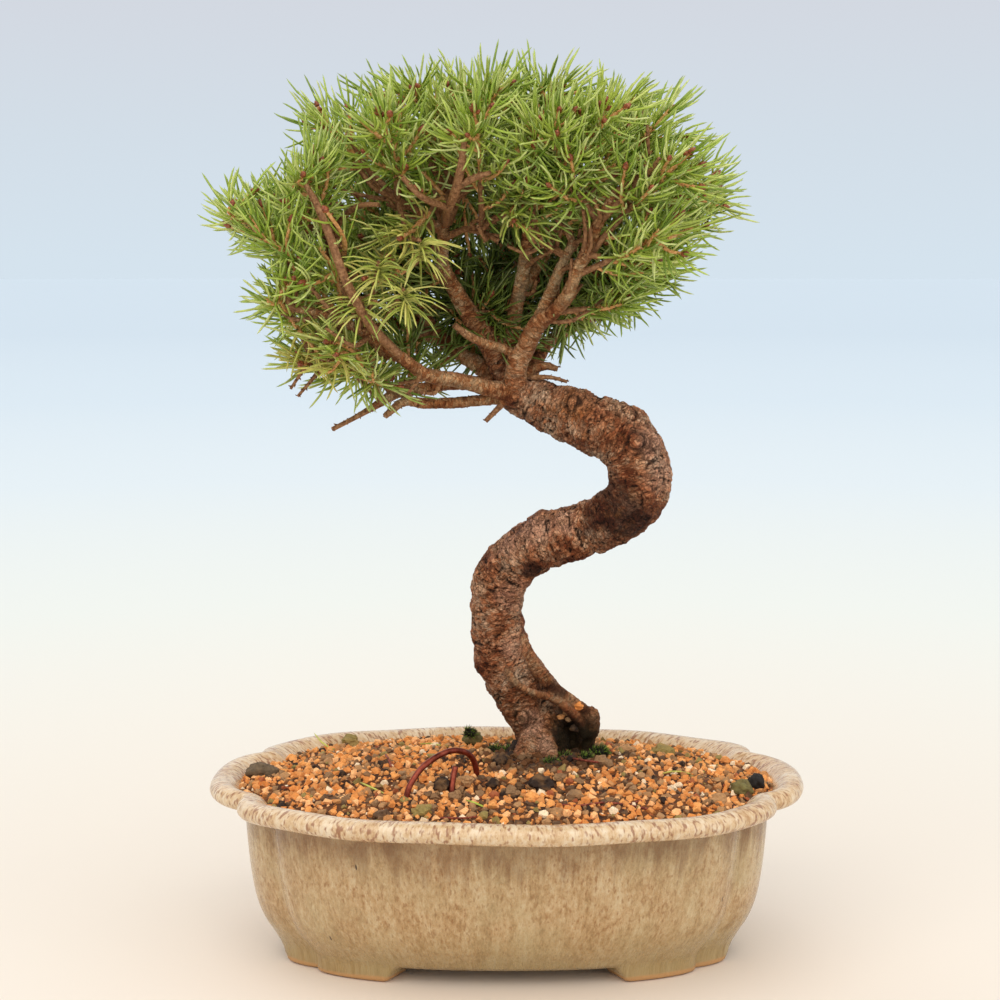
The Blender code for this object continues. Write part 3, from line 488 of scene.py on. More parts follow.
# %% Stoneware glaze
glaze, tree, shader, place = material("stoneware_ash_glaze", IOR=1.5, Coat_Weight=0.25, Coat_Roughness=0.12)
flow = add(tree, "Attribute", attribute_name="flow").outputs["Vector"]
high = add(tree, "SeparateXYZ", [place]).outputs["Z"]


def run_noise(stretch, size, detail=3.0, roughness=0.6):
    """Noise on the pot's own surface, of a size in mm, drawn out down the wall by a stretch."""
    drawn = add(tree, "Mapping", {"Vector": flow, "Scale": (1, 1, 1 / stretch)})
    return add(tree, "TexNoise", [drawn, per(size), detail, roughness])


streaks = run_noise(1.8, 1.5, 5.0, 0.72)
flecks = run_noise(1.9, 1.1, 2.0, 0.5)
specks = run_noise(2.4, 1.0, 1.0, 0.5)
clouds = run_noise(1, 24)
mottled = add(tree, "Math", [streaks, 0.62], operation="MULTIPLY")
mottled = add(tree, "Math", [run_noise(3.2, 6), 0.38, mottled], operation="MULTIPLY_ADD")
# The lowest centimetre is olive, and the band below the lip is brown in places, with drips up to 10 mm long.
wall = add(tree, "ValToRGB", [mottled], stops=[
    (0.34, "#8f6c40"), (0.44, "#b08c5e"), (0.52, "#c2a276"), (0.64, "#d2ba92")])
dripped = add(tree, "Math", [run_noise(40, 5, 3.0, 0.7), 0.036, high], operation="MULTIPLY_ADD")
browned = add(tree, "MapRange", [run_noise(1, 15), 0.38, 0.6, 0.35, 0.85])
wall = coats(tree, wall, [
    (flecks, 0.56, 0.68, 0.0, 0.6, "#8e5c28"), (clouds, 0.42, 0.7, 0.0, 0.42, "#bcb086"),
    (high, 0.007, 0.024, 0.52, 0.0, "#968350"), (dripped, 0.059, 0.068, 0.0, browned, "#80582f")])
# The lip: pale, with rust dashes half a millimetre wide that run out across it, thicker in some places.
speck_level = add(tree, "Math", [run_noise(1, 8, 2.0), 0.32, specks], operation="MULTIPLY_ADD")
lip = add(tree, "ValToRGB", [mottled], stops=[(0.36, "#b88e62"), (0.47, "#d7b78d"), (0.6, "#e7d3b5")])
lip = coats(tree, lip, [(speck_level, 0.69, 0.83, 0.0, 0.8, "#915a38")])
# Dark pinholes and hairs: one short dash in a few of the cells 5 mm apart.
hair_place = add(tree, "Mapping", {"Vector": flow, "Rotation": (0.3, 0.2, 0), "Scale": (1, 1, 0.35)})
hairs = add(tree, "TexVoronoi", [hair_place, per(5)])
chosen = add(tree, "SeparateColor", [hairs.outputs["Color"]])
hair_size = add(tree, "MapRange", [chosen, 0.7, 1.0, 0.0, 0.085])
hair = add(tree, "Math", [hairs, hair_size], operation="LESS_THAN")
# Bare clay on the wiped feet, with an uneven edge.
edge = add(tree, "Math", [clouds, -0.0022, high], operation="MULTIPLY_ADD")
bare = add(tree, "MapRange", [edge, 0.0004, 0.0012, 1.0, 0.0])
fired = coats(tree, wall, [(high, 0.0546, 0.0554, 0.0, 1.0, lip), (hair, 0, 1, 0, 1, "#4a3320"),
                           (bare, 0, 1, 0, 1, "#c0935f")])
glassy = add(tree, "MapRange", [flecks, 0.3, 0.7, 0.2, 0.42])
rough = add(tree, "Math", [bare, 0.5, glassy], operation="MULTIPLY_ADD", use_clamp=True)
bumps = add(tree, "Math", [streaks, specks], operation="ADD")
connect(tree, shader, {"Base Color": fired, "Roughness": rough, "Normal": add(tree, "Bump", {
    "Strength": 0.3, "Distance": 0.4 * MM, "Height": bumps})})
hand_over(make_pot(glaze), "pot_glaze", "pot")

# %% [markdown]
# Over each drain hole lies a square of black plastic net, so that grit can't fall through. It is moulded as a
# grid of flat strands. A grid mesh with a Wireframe modifier makes one: every edge becomes a strand.

# %% Drain nets
NET_SIDE = 22
NET_THICKNESS = 0.9
NET_CELLS = 9

net_plastic, tree, shader, place = material("moulded_black_polyethylene", IOR=1.5)
dust = add(tree, "TexNoise", [place, per(2.5), 4.0])
connect(tree, shader, {
    "Base Color": add(tree, "ValToRGB", [dust], stops=[
        (0.4, "#17181a"), (0.65, "#2c2a28"), (0.8, "#5d4a38")]),
    "Roughness": add(tree, "MapRange", [dust, 0.3, 0.8, 0.4, 0.8])})
ticks = np.linspace(-NET_SIDE / 2 + 0.5, NET_SIDE / 2 - 0.5, NET_CELLS + 1)
level = FLOOR_Z + (0.35 + NET_THICKNESS / 2) * MM
corners = [j * len(ticks) + i for j in range(NET_CELLS) for i in range(NET_CELLS)]
cells = [(k, k + 1, k + len(ticks) + 1, k + len(ticks)) for k in corners]
for side, name in ((-1, "left"), (1, "right")):
    points = [(side * DRAIN_X + x * MM, y * MM, level) for y in ticks for x in ticks]
    net = mesh_object(f"drain_net_{name}", points, cells, finish=net_plastic)
    net.modifiers.new("strands", "WIREFRAME").thickness = 0.85 * MM
    hand_over(plain(net), "drain_mesh", f"drain_mesh_{name}")

# %% [markdown]
# The grit is a bonsai mix: orange-brown baked-clay grains of 2 to 4 mm, with pumice, grey lava and charcoal
# among them. Nobody models thousands of grains by hand. A few grain shapes are made once, as hulls round
# random points, and Geometry Nodes scatter them over the soil's own top at a least distance from each other,
# each turned and sized at random. The CAD solid stays below as a dark brown mass that shows in the gaps:
# grit, painted dark as the shade that lies between the grains. Each grain keeps one random number, `tone`,
# and the material picks the grain's colour by it. Damp black compost lies round the trunk's foot.

# %% Colours of the grains
GRAIN_STOPS = [
    (0.0, "#e29b56"), (0.17, "#d38643"), (0.33, "#eeb47a"), (0.45, "#cc8648"), (0.56, "#be8550"),
    (0.64, "#a67d54"), (0.73, "#876747"), (0.82, "#5c4430"), (0.87, "#2c1e15"), (0.905, "#8a7844"),
    (0.935, "#ecd6b4"), (0.97, "#9b5431")]


def tone_material(name, size, bump, roughness=0.9):
    """A stony finish whose main colour follows each piece's own tone, with pores and dust of a size in mm."""
    made, tree, shader, place = material(name, IOR=1.45)
    tone = add(tree, "Attribute", attribute_name="tone").outputs["Fac"]
    main = add(tree, "ValToRGB", [tone], stops=GRAIN_STOPS)
    main.color_ramp.interpolation = "CONSTANT"
    pores = add(tree, "TexNoise", [place, per(size), 4.0, 0.7])
    worn = add(tree, "TexNoise", [place, per(size * 5), 2.0])
    main = grained(tree, main, pores, 0.3, 0.7, 0.84, 1.46)
    foot = add(tree, "VectorMath", [place, (0.013, 0.003, 0.066)], operation="DISTANCE").outputs["Value"]
    low = add(tree, "MapRange", [add(tree, "SeparateXYZ", [place]).outputs["Z"], 0.072, 0.076, 1.0, 0.0])
    foot = add(tree, "MapRange", [foot, 0.011, 0.028, 1.0, 0.0])
    foot = add(tree, "Math", [foot, low], operation="MULTIPLY")
    damp = add(tree, "Math", [tone, -0.9, foot], operation="MULTIPLY_ADD")
    main = coats(tree, main, [
        (worn, 0.5, 0.75, 0.0, 0.3, "#d39c62"), (damp, 0.0, 0.06, 0.0, 0.85, "#20130b")])
    connect(tree, shader, {"Base Color": main, "Roughness": roughness, "Normal": add(tree, "Bump", {
        "Height": pores, "Strength": 0.7, "Distance": bump * MM})})
    return made


grain_clay = tone_material("baked_clay_grains", 0.5, 0.12)
# Painted shade: the soil below the grains is painted dark brown to near black, for the shade in the gaps.
grit_below_in_painted_shade, tree, shader, place = material("grit_below_painted_dark_as_shade", Roughness=0.95)
specks = add(tree, "TexVoronoi", [place, per(2.2)])
connect(tree, shader, {
    "Base Color": add(tree, "ValToRGB", [add(tree, "SeparateColor", [specks.outputs["Color"]])], stops=[
        (0.0, "#2a150a"), (0.45, "#5c3617"), (0.8, "#7e4a20"), (1.0, "#3d2413")]),
    "Normal": add(tree, "Bump", {"Height": specks, "Strength": 0.8, "Distance": 0.8 * MM})})

# %% Grain shapes and the tree that scatters them
GRAIN_KINDS = 7
GRAIN_CORNERS = 13
MOST_A_SQUARE_METRE = 4e6


def hull(name, seed):
    """A closed, slightly flattened grain of unit size: the hull round random points."""
    dice = np.random.default_rng(seed)
    bm = bmesh.new()
    for _ in range(GRAIN_CORNERS):
        way = dice.normal(size=3)
        way *= dice.uniform(0.82, 1.0) / np.linalg.norm(way)
        bm.verts.new(way * (1.0, 0.8, 0.86))
    made = bmesh.ops.convex_hull(bm, input=bm.verts)
    loose = [element for element in made["geom_interior"] if isinstance(element, bmesh.types.BMVert)]
    bmesh.ops.delete(bm, geom=loose, context="VERTS")
    bmesh.ops.recalc_face_normals(bm, faces=bm.faces)
    return mesh_from(name, bm)


grain_shapes = bpy.data.collections.new("grain_shapes")
for seed in range(GRAIN_KINDS):
    grain_shapes.objects.link(bpy.data.objects.new(f"grain_{seed}", hull(f"grain_{seed}", seed)))

tree, given, result = geometry_tree("scatter grains", **{
    "Shapes": "Collection", "Least distance": "Float", "Smallest": "Float", "Largest": "Float",
    "Sink": "Float", "Seed": "Int"})
spots = add(tree, "DistributePointsOnFaces", {
    "Mesh": given["Geometry"], "Distance Min": given["Least distance"], "Density Max": MOST_A_SQUARE_METRE,
    "Seed": given["Seed"]}, distribute_method="POISSON")
depth = add(tree, "RandomValue", {"Min": -0.3, "Max": 1.0, "Seed": 11})
depth = add(tree, "Math", [depth, given["Sink"]], operation="MULTIPLY")
sunk = add(tree, "SetPosition", {"Geometry": spots, "Offset": add(tree, "CombineXYZ", {"Z": depth})})
shapes = add(tree, "CollectionInfo", {
    "Collection": given["Shapes"], "Separate Children": True, "Reset Children": True})
grains = add(tree, "InstanceOnPoints", {
    "Points": sunk, "Instance": shapes, "Pick Instance": True,
    "Instance Index": add(tree, "RandomValue", {
        "Min": 0, "Max": GRAIN_KINDS - 1, "Seed": 3}, data_type="INT"),
    "Rotation": add(tree, "RandomValue", {"Max": (math.tau,) * 3, "Seed": 5}, data_type="FLOAT_VECTOR"),
    "Scale": add(tree, "RandomValue", {"Min": given["Smallest"], "Max": given["Largest"], "Seed": 8})})
end_tree(tree, given, result, toned(tree, grains, 21))
scatter = tree

# %% Scatter the grit
FLATTEST = 0.35
TOP_FROM = 56.5 * MM
# Rows of name, least distance, smallest, largest, sink (all in mm) and seed.
GRIT_LAYERS = [("grit_upper", 2.6, 1.2, 2.4, 0.3, 4), ("grit_lower", 1.75, 0.85, 1.3, -0.7, 9)]

for name, distance, smallest, largest, sink, seed in GRIT_LAYERS:
    # The grains lie on a copy of the upward faces of the CAD soil.
    bm = bmesh.new()
    bm.from_mesh(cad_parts["soil"].data)
    bmesh.ops.remove_doubles(bm, verts=bm.verts, dist=WELD)
    low = [face for face in bm.faces if face.normal.z < FLATTEST or face.calc_center_median().z < TOP_FROM]
    bmesh.ops.delete(bm, geom=low, context="FACES")
    hand_over(grown(in_scene(name, mesh_from(name, bm)), scatter, **{
        "Shapes": grain_shapes, "Finish": grain_clay, "Least distance": distance * MM,
        "Smallest": smallest * MM, "Largest": largest * MM, "Sink": sink * MM, "Seed": seed}), "grit")
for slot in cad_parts["soil"].material_slots:
    slot.material = grit_below_in_painted_shade

# %% [markdown]
# Larger stones lie among the grains: black lava, grey and olive pebbles, and one with a coat of moss behind
# the wire. Each is a ball of many small faces, pushed in and out by smooth noise, so it looks broken and then
# worn. Four of them stand for CAD nodes and keep their places. The others are small and belong to the grit.

# %% Stones
def pebble(centre, radii, seed, rough, level):
    """The points and faces of a worn stone, in metres."""
    bm = bmesh.new()
    bmesh.ops.create_icosphere(bm, subdivisions=level, radius=1)
    for vertex in bm.verts:
        way = vertex.co.copy()
        big = noise.noise(way * 1.1 + Vector((seed * 7.3, 0, 0)))
        facet = noise.noise(way * 2.3 + Vector((0, seed * 3.1, 5)))
        fine = noise.fractal(way * 5 + Vector((seed, 0, 0)), 0.7, 2.0, 3)
        push = 1 + rough * (big + 0.7 * facet + 0.3 * fine)
        vertex.co = Vector([(centre[axis] + way[axis] * radii[axis] * push) * MM for axis in range(3)])
    points = [vertex.co.copy() for vertex in bm.verts]
    faces = [[vertex.index for vertex in face.verts] for face in bm.faces]
    bm.free()
    return points, faces


def heap(stones):
    """Joins the points and faces of several stones."""
    points, faces = [], []
    for some_points, some_faces in stones:
        faces += [[index + len(points) for index in face] for face in some_faces]
        points += some_points
    return points, faces


# Rows of (x, y, z, half width, tone): the bigger stones in the grit, in mm.
LUMPS = [
    (11.5, -28.7, 65.2, 4.2, 0.88), (1.1, -35, 64.0, 3.1, 0.80), (-26.7, -47.9, 61.0, 3.4, 0.92),
    (-16.6, -37.6, 63.6, 2.2, 0.78), (-4.7, -29.7, 65.0, 2.2, 0.88), (67.7, -31.4, 60.0, 3.1, 0.70),
    (31.8, -6, 66.0, 3.2, 0.76), (21.9, -37.3, 63.3, 2.6, 0.8), (-56.2, 47, 60.6, 3.2, 0.92),
    (54.3, 19, 63.2, 4.0, 0.92), (41.2, 15.6, 64.8, 3.2, 0.72), (-52.6, -35.1, 61.0, 2.3, 0.80),
    (-61.7, 12, 62.8, 2.4, 0.78), (-39.3, -48.8, 60.0, 2.7, 0.85), (-72.2, -35.8, 59.2, 1.9, 0.88),
    (15.6, -50, 60.9, 2.8, 0.72), (8, -39.5, 63.4, 2.3, 0.05), (4, -31.5, 64.8, 1.9, 0.88),
    (-21, -31, 65.6, 2.6, 0.88), (-13, -29, 66.2, 2.2, 0.66), (17.5, -24, 66.0, 2.0, 0.8),
    (-2, -6, 67.4, 2.2, 0.88), (18.6, 7, 79.2, 1.2, 0.6), (20.6, 7.6, 80.4, 1.2, 0.66),
    (24.6, 7.6, 82.8, 1.7, 0.2), (21.2, 6.8, 78.4, 1.0, 0.75), (23.5, 8.5, 75, 1.8, 0.88),
    (3.6, 7.5, 69.2, 2.2, 0.88), (6.2, 7.5, 72, 1.5, 0.88), (2, 5.5, 67.6, 1.9, 0.88),
    (5, 3, 67.3, 1.5, 0.83)]

lumps = []
for seed, (x, y, z, half, _) in enumerate(LUMPS):
    halves = (half, half * (0.85 + 0.2 * wobble(seed, 1)), half * (0.72 + 0.2 * wobble(seed, 2)))
    lumps.append(pebble((x, y, z), halves, seed, rough=0.42, level=3))
tones = [row[4] for row, (some_points, _) in zip(LUMPS, lumps) for _ in some_points]
lava = tone_material("broken_lava_stones", 0.9, 0.3)
hand_over(mesh_object("loose_stones", *heap(lumps), finish=lava, tone=tones), "grit")

# %% The four CAD stones
river_stone, tree, shader, place = material("weathered_pebble", Roughness=0.85)
grain = add(tree, "TexNoise", [place, per(1.2), 5.0, 0.65])
mottle = add(tree, "TexNoise", [place, per(3.5), 3.0])
tone = add(tree, "Attribute", attribute_name="tone").outputs["Fac"]
base = add(tree, "ValToRGB", [tone], stops=[
    (0.0, "#221d1a"), (0.35, "#6a5740"), (0.7, "#6f6336"), (1.0, "#7b6d48")])
base = grained(tree, base, grain, 0.3, 0.7, 0.5, 1.4)
lichen = add(tree, "Math", [mottle, tone], operation="MULTIPLY")
base = coats(tree, base, [(lichen, 0.3, 0.48, 0.0, 0.6, "#8c8650")])
connect(tree, shader, {"Base Color": base, "Normal": add(tree, "Bump", {
    "Height": grain, "Strength": 0.6, "Distance": 0.3 * MM})})

STONES = {"stone_mossy": ((-12, 30, 66.2), (3.4, 3.0, 3.0), 0.75),
          "stone_flat_left": ((-83.5, 4, 61.0), (5.8, 4.0, 2.6), 0.35),
          "stone_dark_right": ((83, -12, 61.0), (2.9, 2.6, 3.2), 0.0),
          "stone_olive_right": ((77.5, -18, 60.8), (3.6, 3.0, 2.7), 0.7)}
for seed, (name, (centre, radii, tone)) in enumerate(STONES.items()):
    points, faces = pebble(centre, radii, seed + 40, rough=0.28, level=4)
    tones = [tone] * len(points)
    hand_over(mesh_object(name + "_worn", points, faces, finish=river_stone, smooth=True, tone=tones),
              "stone", name)

# %% [markdown]
# The root ball is tied down with aluminium wire, anodised to a red-brown copper colour. It is soft round
# wire, 2 mm thick, bent by hand. A curve with a round bevel is the natural way to make it. The points are the
# CAD wire's own, joined by a smooth path, and the curve is made a mesh before it is handed over.

# %% Tie wire
WIRE_RADIUS = 1.0
WIRES = {
    "tie_wire_arch": [(-33, -39, 52), (-32, -38, 64), (-29, -35.5, 70), (-25, -32, 73.4), (-20, -28, 75.4),
        (-16, -24.5, 75.2), (-12, -20.5, 72.6), (-10, -18.5, 67), (-9.5, -18, 55)],
    "tie_wire_leg": [(-16.6, -29.5, 71.2), (-17.4, -31, 67.5), (-17.8, -33, 63), (-18, -34, 50)],
}

anodised, tree, shader, place = material("copper_anodised_aluminium", Metallic=0.85)
wear = add(tree, "TexNoise", [place, per(3), 5.0, 0.7])
connect(tree, shader, {
    "Base Color": add(tree, "ValToRGB", [wear], stops=[
        (0.35, "#5a2418"), (0.55, "#8a4030"), (0.75, "#a8604c")]),
    "Roughness": add(tree, "MapRange", [wear, 0.3, 0.7, 0.25, 0.5]),
    "Normal": add(tree, "Bump", {"Height": wear, "Strength": 0.25, "Distance": 0.2 * MM})})


def smooth_path(points, radii, steps):
    """A Catmull-Rom curve through the points, with the radii following."""
    rows = smooth_rows([(*point, radius) for point, radius in zip(points, radii)], steps)
    return [Vector(row[:3]) for row in rows], [float(max(row[3], 1e-5)) for row in rows]


def bent_bar(name, path, radii, finish, resolution=4):
    """A round bar along a path, from a bevelled curve made into a mesh with its faces outward."""
    curve = bpy.data.curves.new(name, "CURVE")
    curve.dimensions = "3D"
    curve.bevel_depth = 1.0
    curve.bevel_resolution = resolution
    curve.use_fill_caps = True
    spline = curve.splines.new("POLY")
    spline.points.add(len(path) - 1)
    for knot, point, radius in zip(spline.points, path, radii):
        knot.co = (*point, 1)
        knot.radius = radius
    line = in_scene(name + "_line", curve)
    bm = bmesh.new()
    bm.from_mesh(mesh_of(line))
    bpy.data.objects.remove(line)
    bmesh.ops.remove_doubles(bm, verts=bm.verts, dist=WELD)
    bmesh.ops.recalc_face_normals(bm, faces=bm.faces)
    mesh = mesh_from(name, bm)
    mesh.materials.append(finish)
    mesh.shade_smooth()
    return in_scene(name, mesh)


for name, rows in WIRES.items():
    path, radii = smooth_path([Vector(row) * MM for row in rows], [WIRE_RADIUS * MM] * len(rows), 5)
    hand_over(bent_bar(name + "_bent", path, radii, anodised), "tie_wire", name)

# %% [markdown]
# The wood is one grown piece: trunk, two roots that show, limbs and cut stubs. Its shape is a skeleton, rows
# of points with a radius at each. Tubes along the skeleton overlap where a limb leaves the trunk. A voxel
# remesh then welds them into one skin, with the soft collars that a real limb has, and gives even small
# faces, which the bark relief needs.

# %% The skeleton, in mm, from the roots up
TRUNK = [
    (13, 17, 36, 9.5), (13, 17, 52, 9.8), (13, 16, 64, 9.6), (11, 14, 75, 8.8), (4, 12, 87, 8.9),
    (-1, 10, 99, 9.4), (-3, 8, 111, 8.8), (-3, 6, 121, 8.8), (0, 4, 130, 9.2), (6, 2, 136.5, 9.1),
    (13, 0, 140.5, 9.3), (22, -2, 143.5, 9.0), (31, -3, 147, 9.1), (39, -5, 152, 9.7), (43.5, -6, 159, 10.2),
    (43.5, -6, 166, 10.2), (41, -6, 172, 9.9), (36, -5, 176.5, 9.6), (30, -4, 179.5, 9.3), (23, -2, 182, 8.9),
    (16, 0, 184.5, 8.2), (10, 2, 187, 7.5), (5, 3, 190, 6.8), (1, 4, 194, 5.4)]
# Swellings on the trunk, as (x, y, z, reach, height): healed cuts, a burl and the outsides of bends.
KNOTS = [
    (39, -15, 185, 4.5, 1.8), (42, -15, 176, 4.0, 1.3), (24, -9, 187, 5.5, 1.6), (-9, 2, 129, 5.0, 1.2),
    (-11, 8, 97, 3.0, 1.6), (12, 0, 150, 3.5, 1.3), (46, -15, 158, 4.0, 0.9), (38, -15, 150, 4.0, 0.9),
    (45, -4, 183, 5.0, 1.9), (8, 8, 71, 6.0, 0.8), (37, -5, 187, 5.0, 1.4), (22, -3, 190, 4.5, 1.2),
    (16, 0, 147, 3.0, 1.0)]
ROOTS = {
    "aerial": [(4, 6, 106, 3.0), (9.2, 5.5, 98, 2.3), (14.5, 6, 91, 2.2), (20.5, 8, 85.5, 2.2),
        (26, 10, 81, 2.2), (28.6, 11, 76, 2.4), (28.4, 12, 70, 2.2), (26.8, 13.5, 62, 2.6),
        (26.5, 14, 56, 3.2)],
    "front": [(13, 12, 78, 5.6), (9, 6, 71, 5.0), (5, 1, 65.5, 3.6), (1, -3, 60, 2.4)],
}
# Relief that the CAD leaves out: a thin root that crosses the trunk's foot, the knob of the other root, the
# thicker wood behind that root with a web to the trunk, and a toe in front.
FINE_ROOTS = {
    "crossing": [(-1, 2.5, 101, 0.6), (0.2, 1.4, 96.5, 1.0), (4.2, 1.2, 91.2, 1.15), (10.5, 2.2, 88.2, 1.3),
        (16.2, 3.6, 86.2, 1.5), (21.5, 5.5, 81.5, 1.6), (25, 7.5, 77, 1.7), (27, 10, 72, 2.0)],
    "knob": [(27, 9.5, 78, 1.8), (29, 9, 80.4, 2.2), (29.8, 9.5, 77.5, 2.4), (29.3, 11, 72, 2.4)],
    "behind": [(0, 11, 106, 4.0), (8, 13.5, 96, 4.0), (15, 16, 86, 4.2), (21, 17.5, 77, 4.4),
        (23, 18, 66, 4.6), (23, 18, 58, 4.6)],
    "between": [(8, 13, 92, 3.0), (15, 14.5, 86, 2.6), (22, 15.5, 79, 2.4), (23, 16.5, 70, 2.6)],
    "toe": [(12, 8, 73, 4.2), (14, 3, 68, 3.6), (15, -1, 63, 2.6)],
}
LIMBS = {
    "left": [(6, 1, 190, 4.0), (-6, -3, 192, 2.7), (-16, -8, 195, 2.5), (-26, -14, 197, 2.2),
        (-34, -20, 203, 1.9), (-47, -26, 212, 1.6), (-58, -30, 217, 1.4), (-68, -32, 219, 1.2)],
    "low_left": [(6, 3, 189, 3.2), (-6, 2, 188, 2.0), (-17, 0, 187, 1.9), (-28, -2, 187, 1.8),
        (-34, -4, 187.6, 1.6), (-40, -7, 183, 1.0)],
    "far_left": [(4, 8, 192, 3.6), (-16, 8, 193, 2.3), (-27, 4, 191.6, 2.1), (-36, 1, 190.4, 2.0),
        (-41, -3, 187.6, 1.5), (-49, -6, 183, 0.9), (-57, -10, 179, 0.8)],
    "far_left_rise": [(-35, 1, 190, 1.8), (-42, -5, 195, 1.6), (-48, -10, 202, 1.4), (-55, -14, 206, 1.1),
        (-63, -18, 204, 0.9)],
    "leader": [(3, 5, 191, 5.2), (-6, 8, 207, 4.0), (-13, 8, 217, 3.3), (-17, 6, 224, 2.7),
        (-21, 4, 232, 2.3), (-21, 2, 240, 2.1), (-20, 0, 249, 2.0), (-17, -3, 257, 1.7), (-15, -7, 265, 1.3),
        (-12, -12, 274, 1.0)],
    "leader_stub": [(-19, -1, 251, 1.5), (-14, -5, 258, 1.3), (-9, -9, 263, 1.2)],
    "leader_left": [(-21, 2, 243, 1.6), (-28, -6, 249, 1.3), (-35, -14, 253, 1.1), (-42, -20, 257, 1.0),
        (-48, -26, 264, 0.8)],
    "leader_right": [(-21, 2, 241, 1.4), (-13, -7, 244, 1.0), (-8, -13, 243, 0.9), (-3, -19, 240, 0.8)],
    "mid_left": [(3, 8, 191, 4.4), (-10, 15, 199, 3.0), (-18, 19, 204, 2.6), (-25, 20, 211, 2.1),
        (-30, 22, 220, 1.7), (-36, 24, 232, 1.3), (-42, 26, 246, 1.0)],
    "mid_left_out": [(-21, 19, 207, 1.9), (-37, 26, 212, 1.5), (-51, 30, 222, 1.2), (-62, 30, 235, 0.9)],
    "left_rise": [(-35, -20, 203, 1.8), (-42, -15, 206, 1.6), (-50, -13, 220, 1.5), (-55, -14, 233, 1.4),
        (-57, -16, 245, 1.2), (-59, -18, 256, 1.0)],
    "right": [(3, 1, 187, 4.8), (3, -2, 198, 3.7), (6, -4, 205, 3.3), (10, -8, 213, 3.0), (15, -12, 217, 2.4),
        (19, -16, 222, 2.2), (22, -20, 229, 2.0), (25, -22, 236, 2.1), (29, -26, 246, 1.8),
        (34, -30, 255, 1.5)],
    "right_twin": [(7, -5, 208, 2.8), (12, -7, 218, 2.2), (16, -9, 228, 1.9), (19, -11, 235, 1.7),
        (21, -14, 240, 1.3), (17, -17, 246, 1.2), (13, -20, 252, 1.1), (11, -22, 261, 0.9)],
    "right_stub": [(24, -21, 236, 1.4), (29, -26, 235, 1.0)],
    "right_inner": [(19, -11, 235, 1.3), (13, -14, 238.5, 1.0), (8, -17, 240, 0.8)],
    "right_out": [(30, -27, 248, 1.3), (33, -29, 254, 1.2), (39, -32, 258, 1.0), (46, -35, 261, 0.9)],
    "right_back": [(5, 6, 190, 3.6), (13, 18, 205, 2.3), (24, 26, 212, 2.0), (35, 30, 220, 1.7),
        (47, 31, 230, 1.4), (55, 29, 238, 1.1)],
    "back": [(3, 8, 190, 3.8), (2, 28, 206, 2.8), (0, 38, 222, 2.4), (-3, 42, 240, 1.8), (-3, 42, 256, 1.3)],
    "back_left": [(2, 8, 190, 3.4), (-13, 30, 204, 2.3), (-31, 42, 214, 1.8), (-50, 44, 226, 1.2)],
    "centre": [(3, 5, 192, 4.2), (2, 8, 211, 2.8), (5, 6, 227, 2.3), (7, 2, 244, 1.9), (5, -3, 260, 1.4),
        (4, -8, 272, 1.0)],
    "centre_right": [(4, 7, 222, 2.2), (16, 14, 240, 1.7), (29, 17, 256, 1.3), (37, 16, 270, 1.0)],
    "dead_twig": [(5, 1, 202, 1.6), (-1, -3, 205, 1.6), (-10, -8, 208, 1.5), (-17, -12, 213, 1.0)],
    "dead_stub": [(5, 3, 196, 2.2), (12, 3, 199, 1.6), (17, 3, 198, 1.0)],
    "thin_stub": [(6, 1, 195, 1.4), (14, -1, 195.5, 0.8), (20, -1, 194, 0.6)],
    "low_stub": [(1, 1, 189, 1.6), (-3, -1, 185, 1.0), (-7, -2, 181, 0.8)],
}


def in_metres(rows):
    return [Vector(row[:3]) * MM for row in rows], [row[3] * MM for row in rows]


# %% Tubes along the skeleton
TWIG_FROM = 1.25
TRUNK_SIDES = 40
ROOT_SIDES = 20
LIMB_SIDES = 14
SKIN_VOXEL = 0.635 * MM


def frames(path):
    """(point, tangent, side, up) along a path, turned as little as possible from one to the next."""
    found, side = [], None
    for k, point in enumerate(path):
        tangent = (path[min(k + 1, len(path) - 1)] - path[max(k - 1, 0)]).normalized()
        if side is None:
            across = Vector((0, 1, 0)) if abs(tangent.y) < 0.9 else Vector((1, 0, 0))
            side = tangent.cross(across).normalized()
        else:
            side = (side - tangent * side.dot(tangent)).normalized()
        found.append((point, tangent, side, tangent.cross(side)))
    return found


def swelling(place):
    """The low lumps and knots of the trunk, as in the CAD, in metres. Near the soil there are none."""
    x, y, z = place / MM
    lumps = math.sin(0.55 * x + 0.31 * z) * math.sin(0.47 * y - 0.38 * z + 1.7)
    raised = 0.45 * (lumps + 0.6 * math.sin(0.9 * x - 0.8 * y + 0.7 * z))
    for kx, ky, kz, reach, height in KNOTS:
        raised += height * math.exp(-((x - kx) ** 2 + (y - ky) ** 2 + (z - kz) ** 2) / reach ** 2)
    return raised * min(max((z - 72) / 6, 0), 1) * MM


def add_tube(points, faces, path, radii, sides, swell=None):
    """Adds a closed round tube to lists of points and faces."""
    start = len(points)
    for (point, _, side, up), radius in zip(frames(path), radii):
        for i in range(sides):
            turn = math.tau * i / sides
            out = side * math.cos(turn) + up * math.sin(turn)
            spot = point + out * radius
            points.append(spot + out * swell(spot) if swell else spot)
    for low in range(start, len(points) - sides, sides):
        for i in range(sides):
            j = (i + 1) % sides
            faces.append((low + i, low + j, low + j + sides, low + i + sides))
    faces.append(tuple(reversed(range(start, start + sides))))
    faces.append(tuple(range(len(points) - sides, len(points))))


def thick_steps(radii):
    """How many steps of a limb are thick enough for the skin."""
    return next((k for k, radius in enumerate(radii) if radius < TWIG_FROM * MM), len(radii))


